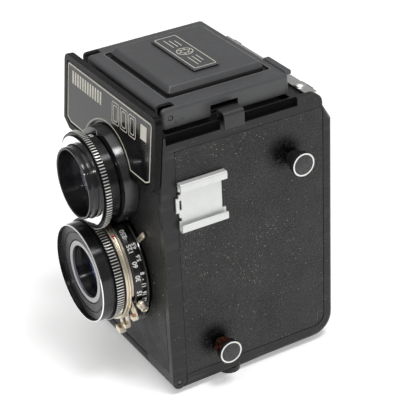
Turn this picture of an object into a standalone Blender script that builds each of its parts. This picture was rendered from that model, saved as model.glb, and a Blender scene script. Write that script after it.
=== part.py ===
"""Twin lens reflex camera for roll film, modelled as an assembly of separate pieces.

Sizes are in millimetres and become metres where a shape is made. Positions are measured from the
camera's middle plane (x), from the casing's lower front face (y, the lenses point to -y) and from the
underside of the back door (z). place() moves them to the part's own frame, whose origin is the middle of
the footprint, on the table.
"""
import math

import bmesh
import bpy
from mathutils import Matrix, Vector

MM = 0.001
GAP = 0.3                      # clearance between neighbouring pieces

# Overall
HALF_W = 37.5                  # casing, half width
KNOB_REACH = 45.3              # knobs' outer faces, from the middle plane
LENS_REACH = 19.4              # taking lens rim, in front of the casing
DOOR_BACK = 77.0               # back of the door
FOOT_H = 2.4                   # feet under the door
MID_DEPTH = (DOOR_BACK - LENS_REACH) / 2

# Casing
WALL = 2.4
INNER_X = HALF_W - WALL
FRONT_WALL = 2.5
RIM_Z = 112.5                  # side walls' top
DECK = (103.5, 106.0)          # deck that carries the focusing screen
REAR_SEAM = 72.7               # seam between casing and door
BOTTOM_SEAM = 5.4
SKIN = 0.9                     # depth of the panel recesses
SKIN_GAP = 0.15
PANEL_TOP = 105.8
PANEL_FRONT = 6.5
FRONT_PANEL_X = 34.8
FRONT_PANEL_Z = (7.3, 89.2)
HINGE = (3.1, 3.1)             # door hinge axis, (y, z)
KNUCKLE_R = 3.1
KNUCKLE_X = 16.1               # half width of the door's own knuckle

# Upper front
BEZEL_FOOT = (-3.46, 89.85)    # lower front edge of the bezel, (y, z)
BEZEL_TILT = math.radians(5.96)
BEZEL_H = 31.4
BEZEL_T = 3.0

# Lenses and shutter
TAKE_Z = 43.0
VIEW_Z = 83.6
TAKE_TEETH = 106
VIEW_TEETH = 98
MODULE = 2 * (VIEW_Z - TAKE_Z) / (TAKE_TEETH + VIEW_TEETH)
ADDENDUM = 0.31
DEDENDUM = 0.45

# Film path
SUPPLY = (22.8, 14.5)          # supply spool axis, (y, z)
TAKEUP = (58.4, 87.9)          # take-up spool axis
GATE_Y = (66.5, 68.5)
GATE_HALF = 28.0
ROLLER_Y = 67.4
ROLLER_R = 1.6
PLATE_Z = (14.5, 73.5)         # film pressure plate's lower and upper edges

# Hood
LID_HINGE = (8.4, 117.3)       # (y, z)
LID_X = 32.8
LID_Y = (4.9, 60.5)
LID_TOP = 121.25
SKIRT_Z = 113.2
FLAP_X = 30.8                  # side flaps' hinge axes
FLAP_Z = 114.4
FLAP_H = 20.0
REAR_FLAP = (57.2, 112.2)      # rear flap's hinge axis, (y, z)
REAR_FLAP_H = 18.0
LOUPE_HINGE = (30.0, 121.4)    # magnifier's hinge axis, (y, z)
LOUPE_Y = 41.0
SQUARE_TOP = 124.5             # raised square of the lid
SQUARE_NARROWING = 0.9
ROOF_T = 1.1                   # its sheet, thicker than the real pressing
BADGE_T = 0.8

# Hook shaped strap lugs over the side walls
LUG_X = (33.75, 40.05)
LUG_Z = (109.9, 116.6)
LUG_Y = (27.0, 35.8)
LUG_T = 0.9

COLOURS = {
    "black_shell": ((0.030, 0.030, 0.031), 0.42, 0.0),
    "black_gloss": ((0.012, 0.012, 0.013), 0.15, 0.0),
    "pebbled_skin": ((0.022, 0.022, 0.023), 0.60, 0.0),
    "hood_paint": ((0.085, 0.085, 0.090), 0.38, 0.3),
    "black_anodised": ((0.015, 0.015, 0.016), 0.30, 0.5),
    "black_baffle": ((0.008, 0.008, 0.008), 0.90, 0.0),
    "bright_metal": ((0.80, 0.80, 0.79), 0.28, 1.0),
    "cream_nickel": ((0.66, 0.61, 0.50), 0.32, 1.0),
    "grey_ring": ((0.22, 0.22, 0.23), 0.40, 0.6),
    "brass": ((0.70, 0.50, 0.24), 0.30, 1.0),
    "glass": ((0.75, 0.80, 0.95), 0.03, 0.0),
    "mirror": ((0.90, 0.91, 0.92), 0.03, 1.0),
    "ground_glass": ((0.80, 0.82, 0.80), 0.50, 0.0),
    "red_window": ((0.45, 0.01, 0.01), 0.15, 0.0),
    "steel": ((0.45, 0.45, 0.46), 0.35, 1.0),
}

# Columns give the directions of an outline's own x, y and extrusion
TURNS = {
    "X": Matrix(((0, 0, 1), (1, 0, 0), (0, 1, 0))),
    "Y": Matrix(((1, 0, 0), (0, 0, -1), (0, 1, 0))),
    "Z": Matrix.Identity(3),
}
FRONT = Vector((0, -1, 0))
RIGHT = Vector((1, 0, 0))
UP = Vector((0, 0, 1))


def place(x, y, z):
    """Turn a position on the camera into metres in the part's frame."""
    return Vector((x, y - MID_DEPTH, z + FOOT_H)) * MM


def start_scene():
    """Empty the file and make the two collections."""
    for old in list(bpy.data.objects):
        bpy.data.objects.remove(old, do_unlink=True)
    for name in ("twin_lens_reflex_camera", "cutters"):
        bpy.context.scene.collection.children.link(bpy.data.collections.new(name))


def material(slot):
    """The Principled material of a slot, made once."""
    if slot in bpy.data.materials:
        return bpy.data.materials[slot]
    colour, roughness, metallic = COLOURS[slot]
    made = bpy.data.materials.new(slot)
    made.use_nodes = True
    shader = made.node_tree.nodes["Principled BSDF"]
    shader.inputs["Base Color"].default_value = (*colour, 1.0)
    shader.inputs["Roughness"].default_value = roughness
    shader.inputs["Metallic"].default_value = metallic
    return made


def add(name, mesh, slot, location, rotation=None):
    """Put a mesh in the parts collection; a slot of None makes it a cutter."""
    obj = bpy.data.objects.new(name, mesh)
    home = bpy.data.collections["twin_lens_reflex_camera" if slot else "cutters"]
    home.objects.link(obj)
    obj.matrix_world = Matrix.LocRotScale(location, rotation, None)
    if slot:
        mesh.materials.append(material(slot))
    else:
        retire(obj)
    return obj


def retire(obj):
    """Show an object as a wire guide that is no part of the camera."""
    obj.hide_render = True
    obj.display_type = "WIRE"
    return obj


def bevel(obj, width, segments=2):
    """Round the sharp edges."""
    mod = obj.modifiers.new("rounded edges", "BEVEL")
    mod.width = width * MM
    mod.segments = segments
    mod.limit_method = "ANGLE"
    mod.angle_limit = math.radians(30)
    return obj


def combine(target, other, operation):
    """Boolean of two objects; the second one becomes a guide."""
    cutters = bpy.data.collections["cutters"]
    if other.name not in cutters.objects:
        bpy.data.collections["twin_lens_reflex_camera"].objects.unlink(other)
        cutters.objects.link(other)
        retire(other)
    mod = target.modifiers.new(other.name, "BOOLEAN")
    mod.operation = operation
    mod.object = other
    mod.solver = "EXACT"


def cut(target, *others):
    """Take each other object's space out of the target."""
    for other in others:
        combine(target, other, "DIFFERENCE")
    return target


def fuse(target, *others):
    """Join the other objects to the target."""
    for other in others:
        combine(target, other, "UNION")
    return target


def block(name, x, y, z, slot=None, rounding=0.0, tilt=0.0):
    """A box between two limits on each axis, with rounded edges, turned about X by tilt."""
    bm = bmesh.new()
    bmesh.ops.create_cube(bm, size=1.0)
    bmesh.ops.scale(bm, vec=Vector((x[1] - x[0], y[1] - y[0], z[1] - z[0])) * MM, verts=bm.verts)
    mesh = bpy.data.meshes.new(name)
    bm.to_mesh(mesh)
    bm.free()
    middle = place(sum(x) / 2, sum(y) / 2, sum(z) / 2)
    obj = add(name, mesh, slot, middle, Matrix.Rotation(tilt, 3, "X").to_quaternion())
    if rounding:
        bevel(obj, rounding)
    return obj


def prism(name, loops, axis, span, slot=None, location=None, rotation=None):
    """A flat outline, with any holes as further loops, drawn out along an axis between two limits."""
    curve = bpy.data.curves.new(name, "CURVE")
    curve.dimensions = "2D"
    curve.fill_mode = "BOTH"
    curve.extrude = (span[1] - span[0]) / 2 * MM
    for loop in loops:
        spline = curve.splines.new("POLY")
        spline.points.add(len(loop) - 1)
        spline.use_cyclic_u = True
        for point, (u, v) in zip(spline.points, loop):
            point.co = (u * MM, v * MM, 0, 1)
    guide = bpy.data.objects.new(name + "_outline", curve)
    bpy.context.scene.collection.objects.link(guide)
    bpy.context.view_layer.update()
    mesh = bpy.data.meshes.new_from_object(guide.evaluated_get(bpy.context.evaluated_depsgraph_get()))
    bpy.data.objects.remove(guide)
    bm = bmesh.new()
    bm.from_mesh(mesh)
    bmesh.ops.remove_doubles(bm, verts=bm.verts, dist=1e-6)
    bmesh.ops.recalc_face_normals(bm, faces=bm.faces)
    bm.to_mesh(mesh)
    bm.free()
    mesh.materials.clear()
    middle = sum(span) / 2
    if location is None:
        along = {"X": (middle, 0, 0), "Y": (0, middle, 0), "Z": (0, 0, middle)}
        location = place(*along[axis])
        rotation = TURNS[axis].to_quaternion()
    return add(name, mesh, slot, location, rotation)


def turned(name, profile, at, direction, slot=None, steps=32, ring=False):
    """A lathe shape: (radius, distance along the direction) points, closed into a loop for a ring."""
    loop = profile + profile[:1]
    area = sum(a[0] * b[1] - b[0] * a[1] for a, b in zip(loop, loop[1:]))
    points = profile[::-1] if area > 0 else profile
    mesh = bpy.data.meshes.new(name)
    edges = [(i, i + 1) for i in range(len(points) - 1)]
    if ring:
        edges.append((len(points) - 1, 0))
    mesh.from_pydata([(r * MM, 0, t * MM) for r, t in points], edges, [])
    obj = add(name, mesh, slot, place(*at), UP.rotation_difference(direction))
    mod = obj.modifiers.new("turned", "SCREW")
    mod.steps = steps
    mod.render_steps = steps
    mod.use_merge_vertices = True
    mod.merge_threshold = 1e-6
    return obj


def rod(name, x, at, radius, slot=None, steps=12):
    """A plain round rod along X between two limits, at (y, z)."""
    profile = [(0, x[1]), (radius, x[1]), (radius, x[0]), (0, x[0])]
    return turned(name, profile, (0, *at), RIGHT, slot, steps)


def pole(name, at, z, radius, slot=None, steps=24):
    """A plain upright cylinder at (x, y) between two heights."""
    profile = [(0, z[1]), (radius, z[1]), (radius, z[0]), (0, z[0])]
    return turned(name, profile, (*at, 0), UP, slot, steps)


def bore(name, height, reach, radius, steps=32):
    """A cutter along the lens axis at a height, between two distances in front of the casing."""
    profile = [(0, reach[1]), (radius, reach[1]), (radius, reach[0]), (0, reach[0])]
    return turned(name, profile, (0, 0, height), FRONT, None, steps)


def arc(centre, radius, start, end, steps):
    """Points on an arc, both ends included, angles in degrees."""
    angles = [math.radians(start + (end - start) * i / steps) for i in range(steps + 1)]
    return [(centre[0] + radius * math.cos(a), centre[1] + radius * math.sin(a)) for a in angles]


def circle(centre, radius, steps=32):
    """Points around a full circle."""
    return arc(centre, radius, 0, 360, steps)[:-1]


def outline(*corners, steps=4):
    """A polygon of (u, v) or (u, v, fillet radius) corners."""
    points = []
    for i, (u, v, *radius) in enumerate(corners):
        here = Vector((u, v))
        if not radius:
            points.append((u, v))
            continue
        back = (Vector(corners[i - 1][:2]) - here).normalized()
        on = (Vector(corners[(i + 1) % len(corners)][:2]) - here).normalized()
        half = back.angle(on) / 2
        middle = here + (back + on).normalized() * radius[0] / math.sin(half)
        start = here + back * radius[0] / math.tan(half) - middle
        end = here + on * radius[0] / math.tan(half) - middle
        turn = start.angle_signed(end)
        for k in range(steps + 1):
            a = -turn * k / steps
            points.append((middle.x + start.x * math.cos(a) - start.y * math.sin(a),
                           middle.y + start.x * math.sin(a) + start.y * math.cos(a)))
    return points


def rectangle(u, v, radius=0.0):
    """A rectangle between two limits each way, with round corners."""
    corners = ((u[0], v[0]), (u[1], v[0]), (u[1], v[1]), (u[0], v[1]))
    return outline(*[(*c, radius) for c in corners]) if radius else list(corners)


def polar(radius, degrees, height=0.0):
    """(x, z) at a radius and angle about a lens axis."""
    a = math.radians(degrees)
    return radius * math.cos(a), height + radius * math.sin(a)


def hang(point, name, *objects):
    """Parent objects to an empty on their joint's axis, leaving them where they are."""
    pivot = bpy.data.objects.new(name, None)
    bpy.data.collections["twin_lens_reflex_camera"].objects.link(pivot)
    pivot.location = place(*point)
    for obj in objects:
        obj.parent = pivot
        obj.matrix_parent_inverse = Matrix.Translation(-pivot.location)
    return pivot


# ---------------------------------------------------------------- casing

def casing():
    """Moulded body, open at the back and below, with the hood well on top."""
    low, back = BOTTOM_SEAM + GAP, REAR_SEAM - GAP
    side = outline(*arc(HINGE, KNUCKLE_R, 180, 360, 12), (HINGE[0] + KNUCKLE_R, low), (back, low, 5),
                   (back, RIM_Z, 5), (2.3, RIM_Z), (0, 89.5), steps=8)
    body = prism("body_shell", [side], "X", (-HALF_W, HALF_W), "black_shell")
    sill = HINGE[0] + KNUCKLE_R + 0.2
    chamber = [(sill, -5), (80, -5), (80, DECK[0]), (4.7, DECK[0]), (FRONT_WALL, 88.5), (FRONT_WALL, 9.5),
               (sill, 7.7)]
    inside = (-INNER_X, INNER_X)
    cut(body, prism("film_and_mirror_space", [chamber], "X", inside),
        block("space_under_rear_deck", inside, (63.5, 80), (100, 107.5)),
        block("hood_well", inside, (5.0, 61.5), (DECK[1], 130)),
        block("rear_deck_top", inside, (61.0, 80), (110.5, 130)),
        block("screen_window", (-27, 27), (7, 57), (DECK[0] - 1, DECK[1] + 1)),
        block("front_recess", (-FRONT_PANEL_X, FRONT_PANEL_X), (-5, SKIN), FRONT_PANEL_Z),
        block("door_knuckle_space", (-KNUCKLE_X - GAP, KNUCKLE_X + GAP), (-1, 6.6), (-1, 6.6)),
        bore("shutter_hole", TAKE_Z, (-6, 2), 13.2),
        bore("viewing_hole", VIEW_Z, (-6, 2), 15.1),
        rod("hinge_hole", (-50, 50), HINGE, 1.15),
        rod("takeup_holes", (-50, 50), TAKEUP, 3.3, steps=20),
        rod("supply_holes", (-50, 50), SUPPLY, 3.3, steps=20))
    for side_name, sign in (("right", 1), ("left", -1)):
        span = sorted((sign * (HALF_W - SKIN), sign * (HALF_W + 5)))
        recess = outline((PANEL_FRONT, -5), (90, -5), (90, PANEL_TOP), (PANEL_FRONT, PANEL_TOP))
        cut(body, prism("recess_" + side_name, [recess], "X", span))
    return body


def panels():
    """Pebbled skins: one at the front and one on each side."""
    edge = FRONT_PANEL_X - SKIN_GAP
    height = (FRONT_PANEL_Z[0] + SKIN_GAP, FRONT_PANEL_Z[1] - SKIN_GAP)
    front = prism("front_panel", [rectangle((-edge, edge), height, 0.6), circle((0, TAKE_Z), 13.6)],
                  "Y", (-0.1, SKIN - GAP), "pebbled_skin")
    cut(front, bore("viewing_gap", VIEW_Z, (-2, 2), 15.3))
    for side_name, sign in (("right", 1), ("left", -1)):
        span = sorted((sign * (HALF_W - SKIN + 0.25), sign * HALF_W))
        sheet = outline((PANEL_FRONT + SKIN_GAP, BOTTOM_SEAM + GAP), (REAR_SEAM - GAP, BOTTOM_SEAM + GAP, 5),
                        (REAR_SEAM - GAP, PANEL_TOP - SKIN_GAP),
                        (PANEL_FRONT + SKIN_GAP, PANEL_TOP - SKIN_GAP, 0.6), steps=8)
        holes = [circle(TAKEUP, 3.6, 20), circle(SUPPLY, 3.6, 20)]
        prism("side_panel_" + side_name, [sheet, *holes], "X", span, "pebbled_skin")


def on_bezel(span):
    """Location and rotation of the bezel's sloping front plane, for a slab between two depths behind it."""
    depth = sum(span) / 2
    y, z = BEZEL_FOOT
    foot = place(0, y + depth * math.cos(BEZEL_TILT), z - depth * math.sin(BEZEL_TILT))
    lean = Matrix.Rotation(-BEZEL_TILT, 3, "X") @ TURNS["Y"]
    return foot, lean.to_quaternion()


def bezel():
    """Sloping upper front with its raised rim and the viewing lens boss, and the name plate in it."""
    face = outline((-32.5, 0), (32.5, 0), (HALF_W, 3.2), (HALF_W, BEZEL_H, 3), (-HALF_W, BEZEL_H, 3),
                   (-HALF_W, 3.2))
    slab = (0, BEZEL_T)
    plate = prism("front_bezel", [face], "Y", slab, "black_gloss", *on_bezel(slab))
    bevel(plate, 0.5)
    dish = (-2, 1.0)
    recess = outline((-32.0, 2.4), (32.0, 2.4), (35.1, 4.4), (35.1, 29.0, 1.5), (-35.1, 29.0, 1.5),
                     (-35.1, 4.4))
    boss = turned("viewing_boss", [(0, 6.5), (18.4, 6.5), (19.5, 5.9), (20.1, 3.0), (20.1, 0.4), (0, 0.4)],
                  (0, 0, VIEW_Z), FRONT)
    cut(plate, prism("name_plate_recess", [recess], "Y", dish, None, *on_bezel(dish)))
    fuse(plate, cut(boss, bore("shutter_clearance", TAKE_Z, (-2, 12), 24.8)))
    cut(plate, bore("boss_bore", VIEW_Z, (-9, 9), 15.1, 40))
    axis_v = (VIEW_Z - BEZEL_FOOT[1]) / math.cos(BEZEL_TILT)
    arch_r = 21.0
    lower = 2.8
    spread = math.degrees(math.asin((lower - axis_v) / arch_r))
    sheet = (0.2, 0.7)
    arch = arc((0, axis_v), arch_r, 180 - spread, spread, 16)
    plate_edge = outline((-34.7, 4.6), (-31.8, lower), *arch, (31.8, lower), (34.7, 4.6), (34.7, 28.6, 1.2),
                         (-34.7, 28.6, 1.2))
    prism("name_plate", [plate_edge], "Y", sheet, "black_gloss", *on_bezel(sheet))


def shoe():
    """Bent sheet accessory shoe on the right side: a base with two lips that fold over it."""
    base, sheet, lip, reach = HALF_W + 0.35, 0.75, 3.3, 40.6
    low, high, front, back = 72.2, 93.0, 6.7, 27.0
    inner = reach - sheet
    channel = outline((base, low), (reach, low, 0.7), (reach, low + lip, 0.3), (inner, low + lip, 0.3),
                      (inner, low + sheet), (base + sheet, low + sheet), (base + sheet, high - sheet),
                      (inner, high - sheet), (inner, high - lip, 0.3), (reach, high - lip, 0.3),
                      (reach, high, 0.7), (base, high), steps=3)
    made = prism("accessory_shoe", [channel], "Y", (front, back), "bright_metal")
    skin = (base, base + sheet)
    fuse(made, block("shoe_tab", skin, (front - 1.2, front + 1), (80.4, 86.6)))
    wide = (base - 1, base + 2)
    cut(made, block("tab_slot", wide, (front + 0.2, front + 1.1), (81.5, 85.5)),
        block("shoe_back_notch", wide, (back - 1.6, back + 1), (76.8, 88.6)),
        block("shoe_front_notch_low", wide, (front - 1, front + 0.9), (76.6, 78.2)),
        block("shoe_front_notch_high", wide, (front - 1, front + 0.9), (88.0, 89.4)))
    return made


def strap_lugs():
    """Bent strips that stand in the groove beside the hood and hook over each side wall."""
    for side_name, sign in (("right", 1), ("left", -1)):
        foot, (inner, outer), (low, top) = DECK[1] + GAP, LUG_X, LUG_Z
        hook = outline((inner, foot), (inner + LUG_T, foot), (inner + LUG_T, top - LUG_T, 0.8),
                       (outer - LUG_T, top - LUG_T, 0.8), (outer - LUG_T, low), (outer, low),
                       (outer, top, 1.7), (inner, top, 1.7))
        prism("strap_lug_" + side_name, [[(sign * u, v) for u, v in hook]], "Y", LUG_Y, "hood_paint")


# ---------------------------------------------------------------- film and mirror space

def light_path():
    """Light cone, film gate, rollers, mirror and focusing screen."""
    bm = bmesh.new()
    front_half, back_half, length = 10.5, 29.0, GATE_Y[0] - 2 * GAP - 5.2
    bmesh.ops.create_cone(bm, segments=4, radius1=back_half * math.sqrt(2) * MM,
                          radius2=front_half * math.sqrt(2) * MM, depth=length * MM)
    bmesh.ops.rotate(bm, matrix=Matrix.Rotation(math.radians(45), 3, "Z"), verts=bm.verts)
    mesh = bpy.data.meshes.new("light_cone")
    bm.to_mesh(mesh)
    bm.free()
    cone = add("light_cone", mesh, "black_baffle", place(0, 5.2 + length / 2, TAKE_Z),
               UP.rotation_difference(FRONT))
    wall = cone.modifiers.new("wall", "SOLIDIFY")
    wall.thickness = 1.0 * MM
    wall.offset = -1
    prism("film_gate", [rectangle((-34.8, 34.8), (13.0, 73.4)),
                        rectangle((-GATE_HALF, GATE_HALF), (TAKE_Z - GATE_HALF, TAKE_Z + GATE_HALF))],
          "Y", GATE_Y, "black_baffle")
    for name, z in (("roller_lower", 10.8), ("roller_upper", 75.6)):
        half = [(0, 34.8), (0.9, 34.8), (0.9, 33.6), (ROLLER_R, 33.6)]
        turned(name, half + [(r, -t) for r, t in reversed(half)], (0, ROLLER_Y, z), RIGHT, "steel", 12)
    block("mirror", (-25, 25), (5, 57), (82.7, 84.3), "mirror", 0, math.radians(45))
    block("focusing_screen", (-26.7, 26.7), (7.3, 56.7), (104.0, 105.6), "ground_glass")


def spools_and_knobs():
    """Take-up spool with its winding knob, and the three pull-out spool knobs."""
    end, flange, core = 32.2, 12.2, 5.2
    half = [(0, 28.5), (2.6, 28.5), (2.6, end), (flange, end), (flange, end - 1), (core, end - 1)]
    spool = turned("takeup_spool", half + [(r, -t) for r, t in reversed(half)], (0, *TAKEUP), RIGHT,
                   "black_shell", 24)
    y, z = TAKEUP
    cut(spool, block("film_slot", (-20, 20), (y - 8, y + 8), (z - 0.6, z + 0.6)))
    knurl = []
    for i in range(24):
        for radius, share in ((11.8, 0.1), (11.8, 0.5), (11.2, 0.6), (11.2, 1.0)):
            knurl.append(arc(TAKEUP, radius, 0, (i + share) * 15, 1)[1])
    wheel = prism("winding_knob", [knurl], "X", (-KNOB_REACH, -HALF_W - 0.9), "black_shell")
    cut(wheel, rod("knob_dish", (-50, -KNOB_REACH + 0.8), TAKEUP, 8.2, steps=32))
    steps = [(0, -29.5), (2.2, -29.5), (2.2, -33.2), (2.9, -33.2), (2.9, -38.1), (0, -38.1)]
    shaft = turned("winding_shaft", steps, (0, *TAKEUP), RIGHT, "steel", 20)
    hang((0, *TAKEUP), "winding_axis", spool, wheel, shaft)
    for name, sign, at in (("spool_knob_upper", 1, TAKEUP), ("spool_knob_lower", 1, SUPPLY),
                           ("spool_knob_left", -1, SUPPLY)):
        profile = [(0, 45.0), (4.0, 45.0), (4.1, KNOB_REACH), (5.0, KNOB_REACH), (5.0, 43.8), (4.7, 40.6),
                   (3.7, 40.0), (3.7, 38.2), (2.9, 38.2), (2.9, 33.4), (2.2, 33.4), (2.2, 29.5), (0, 29.5)]
        turned(name, profile, (0, *at), RIGHT * sign, "black_shell", 16)


# ---------------------------------------------------------------- door

def door():
    """L-shaped door: back and bottom in one piece, on its hinge pin, with film pressure plate and window."""
    clear = KNUCKLE_R + GAP
    start = -math.degrees(math.asin(HINGE[1] / clear))
    side = outline(*arc(HINGE, clear, start, 0, 5), (HINGE[0] + clear, BOTTOM_SEAM),
                   (REAR_SEAM, BOTTOM_SEAM, 4.7), (REAR_SEAM, 106.9), (74.4, 104.0), (DOOR_BACK, 99.6),
                   (DOOR_BACK, 0, 9.5), steps=8)
    made = prism("back_door", [side], "X", (-HALF_W, HALF_W), "black_shell")
    boss_at = (0, 38.0)
    fuse(made, pole("tripod_boss", boss_at, (-2.1, 0.5), 10.5, steps=24))
    for row, (x, y) in (("front", (32.8, 28.6)), ("rear", (21.3, 59.6))):
        for side_name, sign in (("right", 1), ("left", -1)):
            fuse(made, pole("foot_%s_%s" % (row, side_name), (sign * x, y), (-FOOT_H, 0.5), 4.6, steps=16))
    for name, sign in (("tongue_right", 1), ("tongue_left", -1)):
        fuse(made, block(name, sorted((sign * 24.0, sign * 29.0)), (72.9, 74.0), (103, 110.0)))
    knuckle = rod("door_knuckle", (-KNUCKLE_X, KNUCKLE_X), HINGE, KNUCKLE_R, steps=24)
    cut(knuckle, rod("door_pin_hole", (-50, 50), HINGE, 1.15))
    tray = outline((7.5, 2.0), (75.0, 2.0, 7.5), (75.0, 97.0), (60, 97), (60, 6.5), (7.5, 6.5), steps=8)
    cut(made, prism("door_tray", [tray], "X", (-INNER_X, INNER_X)))
    fuse(made, knuckle, block("knuckle_web", (-15.8, 15.8), (HINGE[0] + 1.6, 8), (0.05, 1.9)))
    cut(made, pole("bush_hole", boss_at, (-5, 5), 6.3),
        block("cover_track", (-8.4, 8.4), (76.0, 80), (35.1, 66.0)),
        bore("window_hole", TAKE_Z, (-80, -70), 5.3, 20))
    pin = rod("door_hinge_pin", (-HALF_W + 0.1, HALF_W - 0.1), HINGE, 0.9, "brass")
    bush = turned("tripod_bush", [(0, 4.2), (6, 4.2), (6, -2.1), (3.25, -2.1), (3.25, 3.2), (0, 3.2)],
                  (*boss_at, 0), UP, "brass", 28)
    plate = prism("pressure_plate", [rectangle((-31, 31), PLATE_Z, 2), circle((0, TAKE_Z), 4.6, 20)],
                  "Y", (69.0, 69.9), "steel")
    bow = [(u, 70.25 + 4.3 * (u / 24) ** 2) for u in range(-24, 25, 4)]
    leaf = prism("pressure_spring", [bow + [(u, v + 0.35) for u, v in reversed(bow)]], "Z", (24, 32), "steel")
    window = turned("red_window", [(0, -74.95), (5, -74.95), (5, -75.85), (0, -75.85)], (0, 0, TAKE_Z), FRONT,
                    "red_window", 28)
    cover = block("window_cover", (-8.1, 8.1), (76.2, 76.65), (35.4, 50.6), "black_shell")
    for i in range(3):
        z = 38.0 + 1.6 * i
        fuse(cover, block("cover_ridge_%d" % i, (-4.5, 4.5), (76.4, 76.95), (z, z + 0.8)))
    hang((0, *HINGE), "door_axis", made, pin, bush, plate, leaf, window, cover)


def latch():
    """Flat sliding bar on the rear deck with two finger studs."""
    bar = block("latch_bar", (-31.4, 34.6), (67.0, 71.9), (110.8, 111.5), "bright_metal", 0.2)
    for name, x in (("stud_right", 26.5), ("stud_left", -23.3)):
        dome = [(0, 112.7), (1.7, 112.5), (2.5, 111.9), (2.5, 111.2), (0, 111.2)]
        fuse(bar, turned(name, dome, (x, 69.4, 0), UP, steps=20))
    return bar


# ---------------------------------------------------------------- hood

def hood_frame():
    """Frame over the screen, with upstands for the flaps and two ears for the lid's pins."""
    base = (106.3, 107.6)
    root = base[0] + 0.2
    frame = prism("hood_frame", [rectangle((-31.3, 31.3), (5.9, 60.6)), rectangle((-25, 25), (9.5, 54.5))],
                  "Z", base, "black_shell")
    for name, sign in (("right", 1), ("left", -1)):
        span = sorted((sign * 30.2, sign * 31.3))
        fuse(frame, block("upstand_" + name, span, (11.4, 55.6), (root, 113.4)))
        ear = arc(LID_HINGE, 2.3, 0, 180, 8) + [(LID_HINGE[0] - 2.3, root), (LID_HINGE[0] + 2.3, root)]
        fuse(frame, prism("ear_" + name, [ear], "X", sorted((sign * 28.2, sign * 30.3))))
    fuse(frame, block("rear_upstand", (-29, 29), (56.7, 57.7), (root, 111.2)))
    cut(frame, rod("ear_holes", (-40, 40), LID_HINGE, 1.15))
    return frame


def frustum(name, low, high, half_x, half_y, centre_y, narrowing):
    """A rectangular block that narrows upwards."""
    bm = bmesh.new()
    corner = math.sqrt(2)
    bmesh.ops.create_cone(bm, cap_ends=True, segments=4, radius1=corner, radius2=corner * narrowing, depth=1)
    bmesh.ops.rotate(bm, matrix=Matrix.Rotation(math.radians(45), 3, "Z"), verts=bm.verts)
    bmesh.ops.scale(bm, vec=Vector((half_x, half_y, high - low)) * MM, verts=bm.verts)
    mesh = bpy.data.meshes.new(name)
    bm.to_mesh(mesh)
    bm.free()
    return add(name, mesh, None, place(0, centre_y, (low + high) / 2))


def lid():
    """Pressed lid with side skirts and a raised square, its badge and its two hinge pins."""
    made = block("hood_lid", (-LID_X, LID_X), LID_Y, (100, LID_TOP), "hood_paint")
    bevel(made, 1.7, 3)
    raised = frustum("raised_square", LID_TOP - 0.35, SQUARE_TOP, 24.3, 21.8, 34, SQUARE_NARROWING)
    bevel(raised, 0.8)
    tab = block("thumb_tab", (15.2, 31.2), (LID_Y[1] - 0.8, LID_Y[1] + 2.1), (119.8, 121.6))
    fuse(made, raised, bevel(tab, 0.5))
    cut(made, block("under_lid", (-LID_X + 1, LID_X - 1), (LID_Y[0] + 1.2, LID_Y[1] - 1), (90, 120.05)),
        frustum("under_square", 119.7, SQUARE_TOP - ROOF_T, 23.4, 20.9, 34, SQUARE_NARROWING),
        block("below_skirts", (-40, 40), (0, 70), (90, SKIRT_Z)),
        block("below_front_skirt", (-LID_X + 1, LID_X - 1), (0, 8), (90, 116.0)),
        rod("lid_pin_holes", (-40, 40), LID_HINGE, 1.1))
    for name, sign in (("right", 1), ("left", -1)):
        near, far = sign * 27.4, sign * 31.4
        corner = outline((near, 0), (far, 0), (far, 11.3, 0.8), (near, 11.3, 0.8))
        cut(made, prism("pin_notch_" + name, [corner], "Z", (100, 130)),
            block("lug_notch_" + name, sorted((sign * 31, sign * 34)), (LUG_Y[0] - 1.6, LUG_Y[1] + 1.6),
                  (100, 117.6)))
        cheek = block("loupe_lug_" + name, sorted((sign * 12.3, sign * 13.5)), (28.7, 31.3),
                      (120.0, SQUARE_TOP - 0.9))
        fuse(made, cheek)
    cut(made, rod("loupe_holes", (-13.3, 13.3), LOUPE_HINGE, 0.95))
    badge_z = (SQUARE_TOP + GAP, SQUARE_TOP + GAP + BADGE_T)
    badge = bevel(block("hood_badge", (-17, 17), (28, 39.6), badge_z, "hood_paint"), 0.35)
    pins = [rod("hood_pin_" + name, sorted((sign * 27.0, sign * (LID_X - 0.15))), LID_HINGE, 0.85, "brass")
            for name, sign in (("right", 1), ("left", -1))]
    hang((0, *LID_HINGE), "lid_axis", made, badge, *pins)


def flaps():
    """Light shades that fold flat under the lid: two at the sides and a mitred one at the back."""
    for name, sign in (("right", 1), ("left", -1)):
        root, tip = FLAP_X - 0.4, FLAP_X - FLAP_H
        sheet = [(sign * root, 11.9), (sign * root, 55.4), (sign * tip, 55.4), (sign * tip, 31.4)]
        flap = prism("hood_flap_" + name, [sheet], "Z", (FLAP_Z - 0.35, FLAP_Z + 0.35), "black_shell")
        barrel = [(0, 43.8), (0.6, 43.8), (0.6, 0), (0, 0)]
        fuse(flap, turned("flap_barrel_" + name, barrel, (sign * FLAP_X, 55.6, FLAP_Z), FRONT, steps=12))
        hang((sign * FLAP_X, 0, FLAP_Z), "flap_axis_" + name, flap)
    y, z = REAR_FLAP
    foot, top = 29.3, 30.7 - REAR_FLAP_H - 1.1
    sheet = [(-foot, y - 0.4), (foot, y - 0.4), (top, y - REAR_FLAP_H), (-top, y - REAR_FLAP_H)]
    flap = prism("hood_flap_rear", [sheet, rectangle((-4.5, 4.5), (43.5, 50.0))], "Z", (z - 0.35, z + 0.35),
                 "black_shell")
    fuse(flap, rod("rear_flap_barrel", (-29, 29), REAR_FLAP, 0.6, steps=12))
    hang((0, y, z), "flap_axis_rear", flap)


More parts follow.
